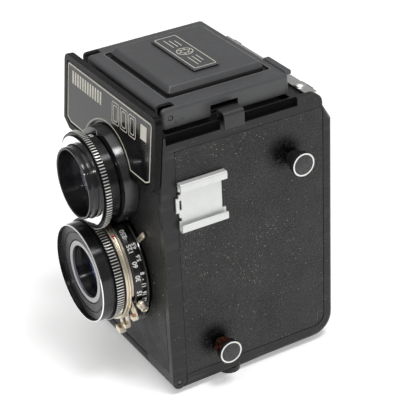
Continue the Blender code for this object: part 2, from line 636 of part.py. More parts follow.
def loupe():
    """Folding magnifier stored inside the raised square."""
    y, z = LOUPE_HINGE
    sheet = rectangle((-11.4, 11.4), (y - 0.8, 51.4), 2.5)
    frame = prism("magnifier_frame", [sheet, circle((0, LOUPE_Y), 9.2, 28)], "Z", (z - 0.8, z + 0.8),
                  "bright_metal")
    fuse(frame, rod("loupe_trunnions", (-13.0, 13.0), LOUPE_HINGE, 0.65, steps=12))
    lens = [(0, z + 1.5), (4.6, z + 1.2), (8.9, z + 0.4), (8.9, z - 0.4), (4.6, z - 1.2), (0, z - 1.5)]
    glass = turned("magnifier_lens", lens, (0, LOUPE_Y, 0), UP, "glass", 20)
    hang((0, y, z), "loupe_axis", frame, glass)


# ---------------------------------------------------------------- lenses and shutter

def gear(teeth, height, phase):
    """Outline of a toothed ring about a lens axis; phase turns it by a share of a tooth."""
    pitch_r = MODULE * teeth / 2
    step = 360 / teeth
    points = []
    for i in range(teeth):
        for radius, share in ((pitch_r - DEDENDUM, -0.25), (pitch_r + ADDENDUM, -0.12),
                              (pitch_r + ADDENDUM, 0.12), (pitch_r - DEDENDUM, 0.25)):
            points.append(polar(radius, 90 + (i + phase + share) * step, height))
    return points


def armed_ring(inner, outer, angle, reach, half_width):
    """A flat ring about the taking lens axis with one arm that points outwards."""
    opening = math.degrees(math.asin(half_width / outer))
    rim = [polar(outer, angle + opening + (360 - 2 * opening) * i / 28, TAKE_Z) for i in range(29)]
    spread = math.degrees(math.asin(half_width / reach))
    rim += [polar(reach, angle - spread, TAKE_Z), polar(reach, angle + spread, TAKE_Z)]
    return [rim, circle((0, TAKE_Z), inner, 28)]


def lever_outline(pivot, tip, root_r, tip_r):
    """A bar with round ends between two (x, z) points."""
    along = math.degrees(math.atan2(tip[1] - pivot[1], tip[0] - pivot[0]))
    return arc(pivot, root_r, along + 90, along + 270, 8) + arc(tip, tip_r, along - 90, along + 90, 6)


def shutter():
    """Shutter drum with aperture lever, cocking, release and timer levers, speed ring and flash socket."""
    axis = (0, 0, TAKE_Z)
    drum = [(12.6, 6.6), (22.9, 6.6), (23.3, 6.2), (24.2, 1.8), (12.6, 1.8)]
    turned("shutter_housing", drum, axis, FRONT, "black_gloss", 40, ring=True)
    aperture = prism("aperture_lever", armed_ring(16.0, 23.9, 45, 32.5, 1.1), "Y", (-1.5, -0.6),
                     "cream_nickel")
    turned("shutter_blades", [(0, 4.0), (11.8, 4.0), (11.8, 3.6), (0, 3.6)], axis, FRONT, "black_anodised")
    turned("diaphragm", [(4.8, 3.2), (11.8, 3.2), (11.8, 2.8), (4.8, 2.8)], axis, FRONT, "black_anodised",
           24, True)
    turned("rear_lens_cell", [(8.6, 2.3), (12.2, 2.3), (12.2, -2.6), (9.8, -2.6), (9.8, -4.9), (8.6, -4.9)],
           axis, FRONT, "black_anodised", 24, True)
    turned("taking_lens_rear", [(0, -1.0), (8.3, -2.2), (8.3, -4.2), (0, -4.7)], axis, FRONT, "glass", 20)
    turned("shutter_locknut", [(12.6, -2.8), (16.0, -2.8), (16.0, -4.5), (12.6, -4.5)], axis, FRONT, "steel",
           24, True)
    layer = (-7.6, -6.9)
    cocking = prism("cocking_lever", armed_ring(13.9, 17.0, -64, 26.5, 1.3), "Y", layer, "cream_nickel")
    tab_x, tab_z = polar(26.6, -65, TAKE_Z)
    fuse(cocking, block("cocking_tab", (tab_x - 1.8, tab_x + 1.8), (-9.9, -7.0), (tab_z - 1.3, tab_z + 1.3)))
    levers = {}
    for name, root, tip, size in (("release_lever", (19.8, -44), (25.6, -51), 1.2),
                                  ("timer_lever", (20.0, -22), (26.6, -27), 1.3)):
        pivot, end = polar(*root, TAKE_Z), polar(*tip, TAKE_Z)
        lever = prism(name, [lever_outline(pivot, end, 1.9, size)], "Y", layer, "cream_nickel")
        across, upright = (end[0] - 1.2, end[0] + 1.2), (end[1] - 0.9, end[1] + 0.9)
        fuse(lever, block(name + "_grip", across, (-9.3, -7.1), upright))
        levers[name] = (lever, pivot)
    ring = [(17.2, 9.8), (22.3, 9.8), (22.3, 9.0), (21.7, 8.9), (21.7, 8.7), (22.5, 8.6), (22.5, 7.9),
            (17.2, 7.9)]
    speed = turned("speed_ring", ring, axis, FRONT, "cream_nickel", 32, True)
    sx, sz = polar(24.5, -15.5, TAKE_Z)
    socket = [(0, 1.1), (0.6, 1.1), (0.6, 4.0), (1.4, 4.0), (1.6, 3.8), (1.6, 1.7), (1.9, 1.5), (1.9, 0),
              (0, 0)]
    outwards = Vector((math.cos(math.radians(-15.5)), 0, math.sin(math.radians(-15.5))))
    turned("sync_socket", socket, (sx, -4.9, sz), outwards, "cream_nickel", 20)
    hang((0, -1.0, TAKE_Z), "aperture_axis", aperture)
    hang((0, -7.2, TAKE_Z), "cocking_axis", cocking)
    hang((0, -8.8, TAKE_Z), "speed_axis", speed)
    for name, (lever, pivot) in levers.items():
        hang((pivot[0], -7.2, pivot[1]), name + "_axis", lever)


def taking_lens():
    """Toothed focusing ring with the front barrel, its retaining ring and the front glass."""
    axis = (0, 0, TAKE_Z)
    toothed = prism("taking_gear", [gear(TAKE_TEETH, TAKE_Z, 0), circle((0, TAKE_Z), 14.0, 24)], "Y",
                    (-13.5, -10.3), "black_anodised")
    barrel = turned("taking_barrel", [
        (13.6, 8.2), (13.6, 13.8), (20.5, 13.8), (20.5, LENS_REACH), (19.8, LENS_REACH), (19.8, 17.6),
        (19.2, 17.2), (13.4, 17.2), (13.4, 15.8), (11.2, 15.8), (10.4, 12.6), (10.4, 8.2)],
        axis, FRONT, "black_anodised", 32, True)
    collar = turned("taking_retaining_ring", [(11.0, 17.1), (13.1, 17.1), (13.1, 16.1), (11.0, 16.1)], axis,
                    FRONT, "grey_ring", 28, True)
    dome = [(r, 12.0 - 1.6 * (r / 10.1) ** 2) for r in (0, 3.4, 6.8, 10.1)]
    glass = turned("taking_lens_front", dome + [(10.1, 8.8), (0, 8.6)], axis, FRONT, "glass", 24)
    hang(axis, "taking_axis", toothed, barrel, collar, glass)


def viewing_lens():
    """Toothed focusing ring meshed with the taking lens ring, its scale, face ring, tube and glasses."""
    axis = (0, 0, VIEW_Z)
    toothed = prism("viewing_gear", [gear(VIEW_TEETH, VIEW_Z, 0.5), circle((0, VIEW_Z), 14.9, 24)], "Y",
                    (-14.0, -11.6), "black_anodised")
    scale = turned("viewing_scale_ring", [(14.9, 6.9), (17.2, 6.9), (17.2, 11.3), (14.9, 11.3)], axis,
                   FRONT, "black_anodised", 28, True)
    face = turned("viewing_face_ring", [(14.9, 14.3), (18.3, 14.3), (18.3, 14.9), (14.9, 14.9)], axis,
                  FRONT, "bright_metal", 28, True)
    tube = turned("viewing_tube", [
        (12.0, -1.5), (14.5, -1.5), (14.5, 18.5), (13.4, 18.5), (13.2, 8.0), (12.0, 8.0)],
        axis, FRONT, "black_anodised", 28, True)
    dome = [(r, 10.9 - 1.5 * (r / 12.9) ** 2) for r in (0, 4.3, 8.6, 12.9)]
    front = turned("viewing_lens_front", dome + [(12.9, 8.3), (0, 8.5)], axis, FRONT, "glass", 24)
    hang(axis, "viewing_axis", toothed, scale, face, tube, front)


def main():
    """Build every piece."""
    start_scene()
    casing()
    panels()
    bezel()
    shoe()
    strap_lugs()
    light_path()
    spools_and_knobs()
    door()
    latch()
    hood_frame()
    lid()
    flaps()
    loupe()
    shutter()
    taking_lens()
    viewing_lens()


main()
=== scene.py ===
"""Looks of the twin lens reflex camera: materials, fine shapes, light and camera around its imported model.

Lengths are in millimetres and become metres where a shape is made. Positions use the camera's own datum:
x from the middle plane, y from the casing's front face (the lenses point to -y), z from its underside.
"""

import math

import bmesh
import bpy
from mathutils import Matrix, Vector


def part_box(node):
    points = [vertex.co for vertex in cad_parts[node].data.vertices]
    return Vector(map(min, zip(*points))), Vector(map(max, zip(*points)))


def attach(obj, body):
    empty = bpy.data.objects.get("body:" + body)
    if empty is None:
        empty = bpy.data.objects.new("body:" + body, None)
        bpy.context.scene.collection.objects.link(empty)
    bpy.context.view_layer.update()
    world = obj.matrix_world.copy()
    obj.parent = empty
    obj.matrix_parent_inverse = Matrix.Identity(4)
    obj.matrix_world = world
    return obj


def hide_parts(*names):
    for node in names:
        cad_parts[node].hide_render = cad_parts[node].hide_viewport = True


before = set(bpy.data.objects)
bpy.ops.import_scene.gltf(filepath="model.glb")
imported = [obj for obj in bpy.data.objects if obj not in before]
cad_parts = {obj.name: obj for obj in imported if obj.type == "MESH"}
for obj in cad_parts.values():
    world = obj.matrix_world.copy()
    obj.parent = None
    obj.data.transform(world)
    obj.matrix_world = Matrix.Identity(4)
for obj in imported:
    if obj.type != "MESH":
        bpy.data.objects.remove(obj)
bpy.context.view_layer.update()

MM = 0.001
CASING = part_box("body_shell")
DATUM = Vector((0, CASING[0].y, CASING[0].z))


def at(x, y, z):
    """A position on the camera, in metres in the frame."""
    return DATUM + Vector((x, y, z)) * MM


def limits(node):
    """A node's lowest and highest corners, in millimetres from the datum."""
    low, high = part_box(node)
    return (low - DATUM) / MM, (high - DATUM) / MM


def middle(node):
    """The middle of a node's box, in millimetres from the datum."""
    low, high = limits(node)
    return (low + high) / 2


TAKE_Z = middle("taking_gear").z
VIEW_Z = middle("viewing_gear").z
LENS_REACH = -limits("taking_barrel")[0].y
TAKE_TEETH = 106
VIEW_TEETH = 98
MODULE = 2 * (VIEW_Z - TAKE_Z) / (TAKE_TEETH + VIEW_TEETH)
TOOTH_ROOT = 0.45              # depth of the teeth's roots below the pitch circle
LID_TOP = 121.25               # the lid's flat border
SQUARE = (23.5, 21.0)          # half sizes of the raised square, where it leaves the border
SQUARE_Y = 34.0
WALL_H = 1.3                   # upright foot of the square's sides
MOAT_W = 1.9                   # groove around the square
MOAT_DEPTH = 0.75
REBATE_Z = 109.3               # foot of the shadow gap below the lid's skirts
REBATE_T = 1.4
PLATE_TILT = math.radians(5.96)
PAINT_H = 0.06                 # height of the painted lines on the name plate
BADGE_PAINT_H = 0.05
PRINT_LIFT = 0.04              # how far printed numbers stand off their barrel
DRUM_R = 23.35                 # shutter drum's radius at its front edge
DOME_STEPS = (1, 0.85, 0.7, 0.55, 0.4, 0.25, 0.12, 0)    # shares of a lens's radius, from rim to middle
TAKEUP = middle("winding_knob")
SUPPLY = middle("spool_knob_lower")
HINGE = middle("door_hinge_pin")
FRONT = Vector((0, -1, 0))
RIGHT = Vector((1, 0, 0))
UP = Vector((0, 0, 1))


# ---------------------------------------------------------------- materials

class Shader:
    """A Principled material and the nodes that feed it; textures use positions in the frame."""

    def __init__(self, name, colour, roughness, metallic=0.0, **fixed):
        self.material = bpy.data.materials.new(name)
        self.material.use_nodes = True
        self.tree = self.material.node_tree
        self.surface = self.tree.nodes["Principled BSDF"]
        self.surface.inputs["Base Color"].default_value = (*colour, 1.0)
        self.surface.inputs["Roughness"].default_value = roughness
        self.surface.inputs["Metallic"].default_value = metallic
        for socket, value in fixed.items():
            self.surface.inputs[socket.replace("_", " ")].default_value = value
        self.place = self.add("ShaderNodeTexCoord").outputs["Object"]

    def add(self, kind, **settings):
        """A node; settings that name an input set or link it, the others are properties."""
        node = self.tree.nodes.new(kind)
        for key, value in settings.items():
            if key.startswith("in"):
                self.feed(node.inputs[int(key[2:])], value)
            else:
                setattr(node, key, value)
        return node

    def feed(self, socket, value):
        """Link an output, or set a number."""
        if isinstance(value, bpy.types.NodeSocket):
            self.tree.links.new(value, socket)
        else:
            socket.default_value = value

    def math(self, operation, a, b=0.0, c=0.0):
        return self.add("ShaderNodeMath", operation=operation, in0=a, in1=b, in2=c).outputs[0]

    def times(self, a, b):
        return self.math("MULTIPLY", a, b)

    def noise(self, size, detail=3.0, rough=0.55):
        """Cloudy noise from 0 to 1 with features of a size in millimetres."""
        node = self.add("ShaderNodeTexNoise")
        self.feed(node.inputs["Vector"], self.place)
        node.inputs["Scale"].default_value = 1 / (size * MM)
        node.inputs["Detail"].default_value = detail
        node.inputs["Roughness"].default_value = rough
        return node.outputs["Fac"]

    def cells(self, size, feature="F1"):
        """Cells of a size in millimetres: distance to the nearest centre, and a random colour for each."""
        node = self.add("ShaderNodeTexVoronoi", feature=feature)
        self.feed(node.inputs["Vector"], self.place)
        node.inputs["Scale"].default_value = 1 / (size * MM)
        return node.outputs["Distance"], node.outputs.get("Color")

    def between(self, value, low, high, start=0.0, end=1.0):
        """Map a value's range to another, clamped."""
        node = self.add("ShaderNodeMapRange", in0=value)
        for socket, number in zip(node.inputs[1:5], (low, high, start, end)):
            socket.default_value = number
        return node.outputs[0]

    def cloud(self, size, detail, low, high, start=0.0, end=1.0):
        """Noise of a size, its values between low and high mapped to a range."""
        return self.between(self.noise(size, detail), low, high, start, end)

    def mix(self, share, first, second):
        """Mix two colours, each a link or three numbers."""
        node = self.add("ShaderNodeMix", data_type="RGBA")
        self.feed(node.inputs[0], share)
        for socket, colour in ((node.inputs[6], first), (node.inputs[7], second)):
            self.feed(socket, colour if isinstance(colour, bpy.types.NodeSocket) else (*colour, 1.0))
        return node.outputs[2]

    def from_point(self, point, stretch=(1, 1, 1)):
        """Millimetres from a point, each axis scaled; a scale of 0 measures around an axis."""
        less = self.add("ShaderNodeVectorMath", operation="SUBTRACT", in0=self.place, in1=at(*point))
        scaled = self.add("ShaderNodeVectorMath", operation="MULTIPLY", in0=less.outputs[0],
                          in1=[s / MM for s in stretch])
        return self.add("ShaderNodeVectorMath", operation="LENGTH",
                        in0=scaled.outputs[0]).outputs["Value"]

    def colour(self, value):
        self.feed(self.surface.inputs["Base Color"], value)

    def roughness(self, value):
        self.feed(self.surface.inputs["Roughness"], value)

    def metal(self, value):
        self.feed(self.surface.inputs["Metallic"], value)

    def bump(self, height, depth, strength=1.0):
        """Relief of a depth in millimetres, on top of any that is there."""
        node = self.add("ShaderNodeBump")
        node.inputs["Strength"].default_value = strength
        node.inputs["Distance"].default_value = depth * MM
        self.feed(node.inputs["Height"], height)
        before = self.surface.inputs["Normal"].links
        if before:
            self.feed(node.inputs["Normal"], before[0].from_socket)
        self.feed(self.surface.inputs["Normal"], node.outputs[0])

    def ripple(self, size, detail, depth, strength):
        """Relief from noise of a size."""
        self.bump(self.noise(size, detail), depth, strength)

    def lathe_marks(self, axis_z, amount):
        """Fine turning grooves about a lens axis, which draw highlights out across them."""
        outwards = self.add("ShaderNodeVectorMath", operation="SUBTRACT", in0=self.place,
                            in1=at(0, 0, axis_z))
        along = self.add("ShaderNodeVectorMath", operation="CROSS_PRODUCT", in0=outwards.outputs[0],
                         in1=(0, 1, 0))
        self.feed(self.surface.inputs["Tangent"], along.outputs[0])
        self.surface.inputs["Anisotropic"].default_value = amount
        self.surface.inputs["Anisotropic Rotation"].default_value = 0.25

    def worn_edges(self, radius=0.35, low=0.02, high=0.25):
        """0 on flat faces and 1 on sharp convex edges, broken up by noise."""
        rounded = self.add("ShaderNodeBevel", samples=4)
        rounded.inputs["Radius"].default_value = radius * MM
        here = self.add("ShaderNodeNewGeometry").outputs["Normal"]
        alike = self.add("ShaderNodeVectorMath", operation="DOT_PRODUCT", in0=rounded.outputs[0],
                         in1=here)
        edge = self.between(self.math("SUBTRACT", 1.0, alike.outputs["Value"]), low, high)
        return self.times(edge, self.cloud(1.7, 3, 0.35, 0.62))

    def specks(self, size, radius, share, patch=None):
        """Small dust dots, one in some of the cells; patch, from 0 to 1, thickens them."""
        distance, colour = self.cells(size)
        red = self.add("ShaderNodeSeparateColor", in0=colour).outputs[0]
        limit = share if patch is None else self.times(patch, share)
        chosen = self.math("LESS_THAN", red, limit)
        dot = self.math("LESS_THAN", distance, self.times(self.noise(size * 0.7), 2 * radius / size))
        return self.times(chosen, dot)

    def dusty(self, base, size, radius, share, strength, tint):
        """A base colour under specks of dust."""
        self.colour(self.mix(self.times(self.specks(size, radius, share), strength), base, tint))


def moulded(name, colour, roughness, wear=0.35):
    """Satin moulded plastic: faint flow marks, fine scratches, dust and rubbed edges."""
    made = Shader(name, colour, roughness, Specular_IOR_Level=0.32)
    cloud = made.noise(9, 4)
    rubbed = made.times(made.worn_edges(), wear)
    lighter = tuple(min(1, 3.2 * c + 0.03) for c in colour)
    base = made.mix(made.between(cloud, 0.3, 0.75, 0.0, 0.35), colour, tuple(1.7 * c for c in colour))
    base = made.mix(rubbed, base, lighter)
    drawn = made.add("ShaderNodeVectorMath", operation="MULTIPLY", in0=made.place, in1=(90, 55, 700))
    streak = made.add("ShaderNodeTexNoise", in0=drawn.outputs[0])
    streak.inputs["Scale"].default_value = 1.0
    streak.inputs["Detail"].default_value = 4
    streaks = made.between(streak.outputs["Fac"], 0.5, 0.72, 0.0, 0.4)
    base = made.mix(made.times(streaks, made.cloud(13, 2, 0.4, 0.6)), base, lighter)
    made.dusty(base, 2.2, 0.12, 0.22, 0.7, (0.55, 0.51, 0.43))
    made.roughness(made.cloud(3.5, 5, 0.3, 0.7, roughness - 0.07, roughness + 0.10))
    made.ripple(0.35, 3, 0.02, 0.5)
    made.ripple(14, 2, 0.12, 0.25)
    return made


def pebbled():
    """Fine leather grain in black plastic, dusty in patches and polished beside the knobs, with a painted
    dark reflection on the polished patches and painted shade on the front face.
    """
    made = Shader("pebbled_skin", (0.016, 0.016, 0.017), 0.55)
    near, _ = made.cells(0.62, "SMOOTH_F1")
    fine = made.noise(0.28, 2)
    grain = made.math("ADD", made.between(near, 0.15, 0.75, 1.0, 0.0), made.times(fine, 0.35))
    made.bump(grain, 0.16, 1.0)
    made.ripple(5, 3, 0.18, 0.25)
    top = made.between(grain, 0.62, 1.15)
    base = made.mix(top, (0.001, 0.001, 0.001), (0.036, 0.036, 0.035))
    base = made.mix(made.cloud(16, 3, 0.35, 0.75, 0.0, 0.4), base, (0.027, 0.027, 0.026))
    drifts = ((10, 68, 6, 0.28), (17, 65, 6, 0.22), (25, 57, 5, 0.26), (31, 50, 6, 0.42),
              (38, 43, 7, 0.28),
              (8, 59, 4, 0.35), (17, 52, 6, 0.16), (44, 58, 6,
                                                    0.16), (54, 58, 7, 0.22), (23, 106, 8, 0.16),
              (7, 101, 7, 0.14), (37, 98, 9, 0.12), (61, 45, 8,
                                                     0.08), (0, 40, 12, 0.14), (0, 100, 9, 0.12))
    patch = 0.012
    for y, z, radius, share in drifts:
        close = made.between(made.from_point((0, y, z), (0, 1, 1)), 0.4 * radius, 1.3 * radius, share,
                             0.0)
        patch = made.math("MAXIMUM", patch, close)
    dust = made.math("MAXIMUM", made.specks(1.35, 0.24, 1.0, patch), made.specks(0.75, 0.13, 0.8, patch))
    dust = made.times(dust, made.cloud(0.9, 1, 0.3, 0.65, 0.15, 0.8))
    # Painted shade: the skin within about 1.2 mm of the front face is mixed towards black, for the front's
    # lesser light.
    front = made.between(made.from_point((0, 0, 0), (0, 1, 0)), 1.2, 1.6, 0.45, 1.0)
    base = made.mix(front, (0.001, 0.001, 0.001), base)
    # Patches beside the knobs: real polish, lower roughness and shine, plus a painted dark reflection in
    # the colour.
    rubbed = 0.0
    for point in ((37, TAKEUP.y - 4, TAKEUP.z + 3.5), (37, SUPPLY.y - 3, SUPPLY.z + 3)):
        close = made.between(made.from_point(point), 4, 9, 1.0, 0.0)
        rubbed = made.math("MAXIMUM", rubbed, made.times(close, made.cloud(2.4, 3, 0.2, 0.5)))
    # Painted dark reflection: the base goes near black on the polished patches beside the knobs.
    base = made.mix(made.times(rubbed, 0.9), base, (0.001, 0.001, 0.001))
    dust = made.times(dust, made.math("SUBTRACT", 1.0, rubbed))
    made.colour(made.mix(dust, base, (0.78, 0.74, 0.66)))
    dull = made.cloud(7, 3, 0.3, 0.7, 0.38, 0.55)
    made.roughness(made.math("SUBTRACT", dull, made.times(rubbed, 0.16)))
    shine = made.math("SUBTRACT", 0.42, made.times(rubbed, 0.34))
    made.feed(made.surface.inputs["Specular IOR Level"], shine)
    return made


def glossy(name, colour=(0.008, 0.008, 0.009), roughness=0.12):
    """Polished black plastic with faint smears and dust."""
    made = Shader(name, colour, roughness)
    made.roughness(made.cloud(5, 4, 0.35, 0.8, roughness - 0.03, roughness + 0.14))
    base = made.mix(made.times(made.worn_edges(0.25), 0.3), colour, (0.12, 0.12, 0.12))
    made.dusty(base, 1.9, 0.07, 0.16, 0.5, (0.5, 0.48, 0.45))
    made.ripple(6, 3, 0.04, 0.3)
    return made


def bezel_finish():
    """Satin dark grey rim that turns to polished black on the boss around the viewing lens."""
    made = Shader("bezel_finish", (0.03, 0.03, 0.031), 0.3)
    made.lathe_marks(VIEW_Z, 0.8)
    around = made.from_point((0, 0, VIEW_Z), (1, 0, 1))
    rim = made.between(around, 20.6, 20.9)
    made.feed(made.surface.inputs["Specular IOR Level"], made.between(rim, 0, 1, 0.9, 0.12))
    grey = made.mix(made.cloud(7, 4, 0.35, 0.7), (0.003, 0.003, 0.003), (0.008, 0.008, 0.008))
    grey = made.mix(made.times(made.worn_edges(0.4), 0.55), grey, (0.14, 0.14, 0.145))
    base = made.mix(rim, (0.007, 0.007, 0.008), grey)
    made.dusty(base, 1.8, 0.08, 0.2, 0.6, (0.5, 0.48, 0.44))
    made.roughness(made.math("ADD", made.between(rim, 0, 1, 0.2, 0.24),
                             made.cloud(3, 4, 0.3, 0.7, -0.02, 0.08)))
    made.ripple(0.5, 2, 0.015, 0.4)
    return made


def painted(name, colour, roughness=0.36):
    """Satin paint on pressed sheet: fine orange peel, dust, and edges rubbed lighter."""
    made = Shader(name, colour, roughness, 0.0)
    cloud = made.cloud(13, 4, 0.3, 0.75, 0.0, 0.6)
    base = made.mix(cloud, colour, tuple(1.35 * c for c in colour))
    edge = made.times(made.worn_edges(0.5, 0.015, 0.2), 0.5)
    base = made.mix(edge, base, tuple(min(1, 2.2 * c + 0.04) for c in colour))
    made.dusty(base, 2.3, 0.09, 0.15, 0.55, (0.55, 0.53, 0.50))
    made.roughness(made.cloud(4, 5, 0.3, 0.7, roughness - 0.06, roughness + 0.08))
    made.ripple(0.6, 3, 0.012, 0.6)
    made.ripple(11, 2, 0.10, 0.3)
    return made


def plated(name, colour, roughness=0.25, brushed=(0, 0, 0), stain=0.3):
    """Bright plating with fine scratches along one direction and slight tarnish."""
    made = Shader(name, colour, roughness, 1.0)
    lines = made.add("ShaderNodeVectorMath", operation="MULTIPLY", in0=made.place,
                     in1=[(60 if b else 6000) for b in brushed] if any(brushed) else [900] * 3)
    scratch = made.add("ShaderNodeTexNoise", in0=lines.outputs[0])
    scratch.inputs["Scale"].default_value = 1.0
    scratch.inputs["Detail"].default_value = 4
    fine = scratch.outputs["Fac"]
    cloud = made.cloud(3.2, 4, 0.35, 0.75, 0.0, stain)
    made.colour(made.mix(cloud, colour, tuple(0.55 * c for c in colour)))
    made.roughness(made.math("ADD", made.between(fine, 0.3, 0.7, roughness - 0.08, roughness + 0.1),
                             made.times(cloud, 0.15)))
    made.bump(fine, 0.01, 0.5)
    return made


def shoe_satin():
    """Soft white satin plating of the accessory shoe."""
    made = plated("shoe_plating", (0.75, 0.76, 0.75), 0.46, (0, 1, 0), 0.12)
    made.metal(0.55)
    return made


def lever_cream():
    """The aperture lever: a black ring under the drum with a warm bright arm."""
    made = plated("lever_cream", (0.80, 0.73, 0.60), 0.34, stain=0.25)
    arm = made.between(made.from_point((0, 0, TAKE_Z), (1, 0, 1)), 24.4, 24.6)
    made.colour(made.mix(arm, (0.012, 0.012, 0.013), (0.78, 0.71, 0.58)))
    made.metal(arm)
    return made


def toothed(name, axis_z, tip, dark_share=0.35):
    """Black anodised ring whose tooth tips are worn to bright metal."""
    made = Shader(name, (0.012, 0.012, 0.013), 0.35, 0.3)
    around = made.from_point((0, 0, axis_z), (1, 0, 1))
    bare = made.between(around, tip - 0.34, tip - 0.14)
    patchy = made.cloud(2.6, 3, 0.25, 0.5, 1 - dark_share, 1.0)
    bare = made.times(bare, patchy)
    made.colour(made.mix(bare, (0.010, 0.010, 0.011), (0.88, 0.87, 0.84)))
    made.metal(made.times(bare, 0.75))
    made.roughness(made.between(bare, 0, 1, 0.28, 0.34))
    return made


def anodised(name, colour=(0.007, 0.007, 0.008), roughness=0.12, axis_z=None):
    """Glossy black anodised metal, rubbed and a little dusty, turned about any lens axis given."""
    made = Shader(name, colour, roughness, 0.0)
    if axis_z:
        made.lathe_marks(axis_z, 0.9)
    edge = made.times(made.worn_edges(0.2, 0.05, 0.3), 0.5)
    base = made.mix(edge, colour, (0.30, 0.30, 0.30))
    made.dusty(base, 1.6, 0.07, 0.15, 0.5, (0.5, 0.5, 0.48))
    made.roughness(made.cloud(5, 4, 0.3, 0.7, roughness - 0.03, roughness + 0.05))
    return made


def inner_black():
    """Turned black inside the front barrel."""
    made = Shader("inner_black", (0.004, 0.004, 0.005), 0.3, Specular_IOR_Level=0.3)
    made.lathe_marks(TAKE_Z, 0.92)
    made.roughness(made.cloud(3, 3, 0.3, 0.7, 0.2, 0.3))
    return made


def varied(name, colour, roughness, metallic=0.0, tones=None, dull=None, relief=None, **fixed):
    """A look whose colour drifts between tones, and whose roughness and surface vary with noise."""
    made = Shader(name, colour, roughness, metallic, **fixed)
    if tones:
        drift, first, second = tones
        made.colour(made.mix(made.cloud(*drift), first, second))
    if dull:
        made.roughness(made.cloud(*dull))
    if relief:
        made.ripple(*relief)
    return made


def lens_glass(name, tint, body, painted_reflection_share, coat=0.0, coat_tint=(1, 1, 1)):
    """Polished lens glass: mostly clear, with a painted reflection: the coating's colour laid on as a
    diffuse body colour, stronger towards the rim.
    """
    made = Shader(name, tint, 0.02, 0.0, Transmission_Weight=1.0, IOR=1.62, Coat_Weight=coat,
                  Coat_IOR=3.2,
                  Coat_Roughness=0.02, Coat_Tint=(*coat_tint, 1.0))
    edge = made.add("ShaderNodeLayerWeight", in0=0.35).outputs["Facing"]
    # Painted reflection: the body colour stands in for the coating's reflection, and the glass is less
    # clear where it is laid on.
    painted_reflection_mask = made.between(edge, 0.0, 0.9, painted_reflection_share, min(1.0, 1.8 * painted_reflection_share))
    made.colour(made.mix(painted_reflection_mask, tint, body))
    made.feed(made.surface.inputs["Transmission Weight"], made.math("SUBTRACT", 1.0, painted_reflection_mask))
    made.roughness(made.cloud(4, 3, 0.4, 0.8, 0.01, 0.05))
    return made


def ink(name, colour, roughness=0.55):
    """Printed or filled-in paint for scales and outlines."""
    made = Shader(name, colour, roughness)
    made.colour(made.mix(made.cloud(0.5, 3, 0.45, 0.8, 0.0, 0.35), colour,
                         tuple(0.6 * c for c in colour)))
    made.ripple(0.2, 2, 0.01, 0.4)
    return made


def knob_disc():
    """Sunken dark disc with a rough cast face."""
    made = Shader("knob_disc", (0.03, 0.03, 0.031), 0.5)
    near, _ = made.cells(0.5)
    made.bump(near, 0.12, 0.9)
    made.colour(made.mix(made.cloud(1.2, 3, 0.3, 0.7), (0.022, 0.022, 0.023), (0.055, 0.055, 0.057)))
    return made


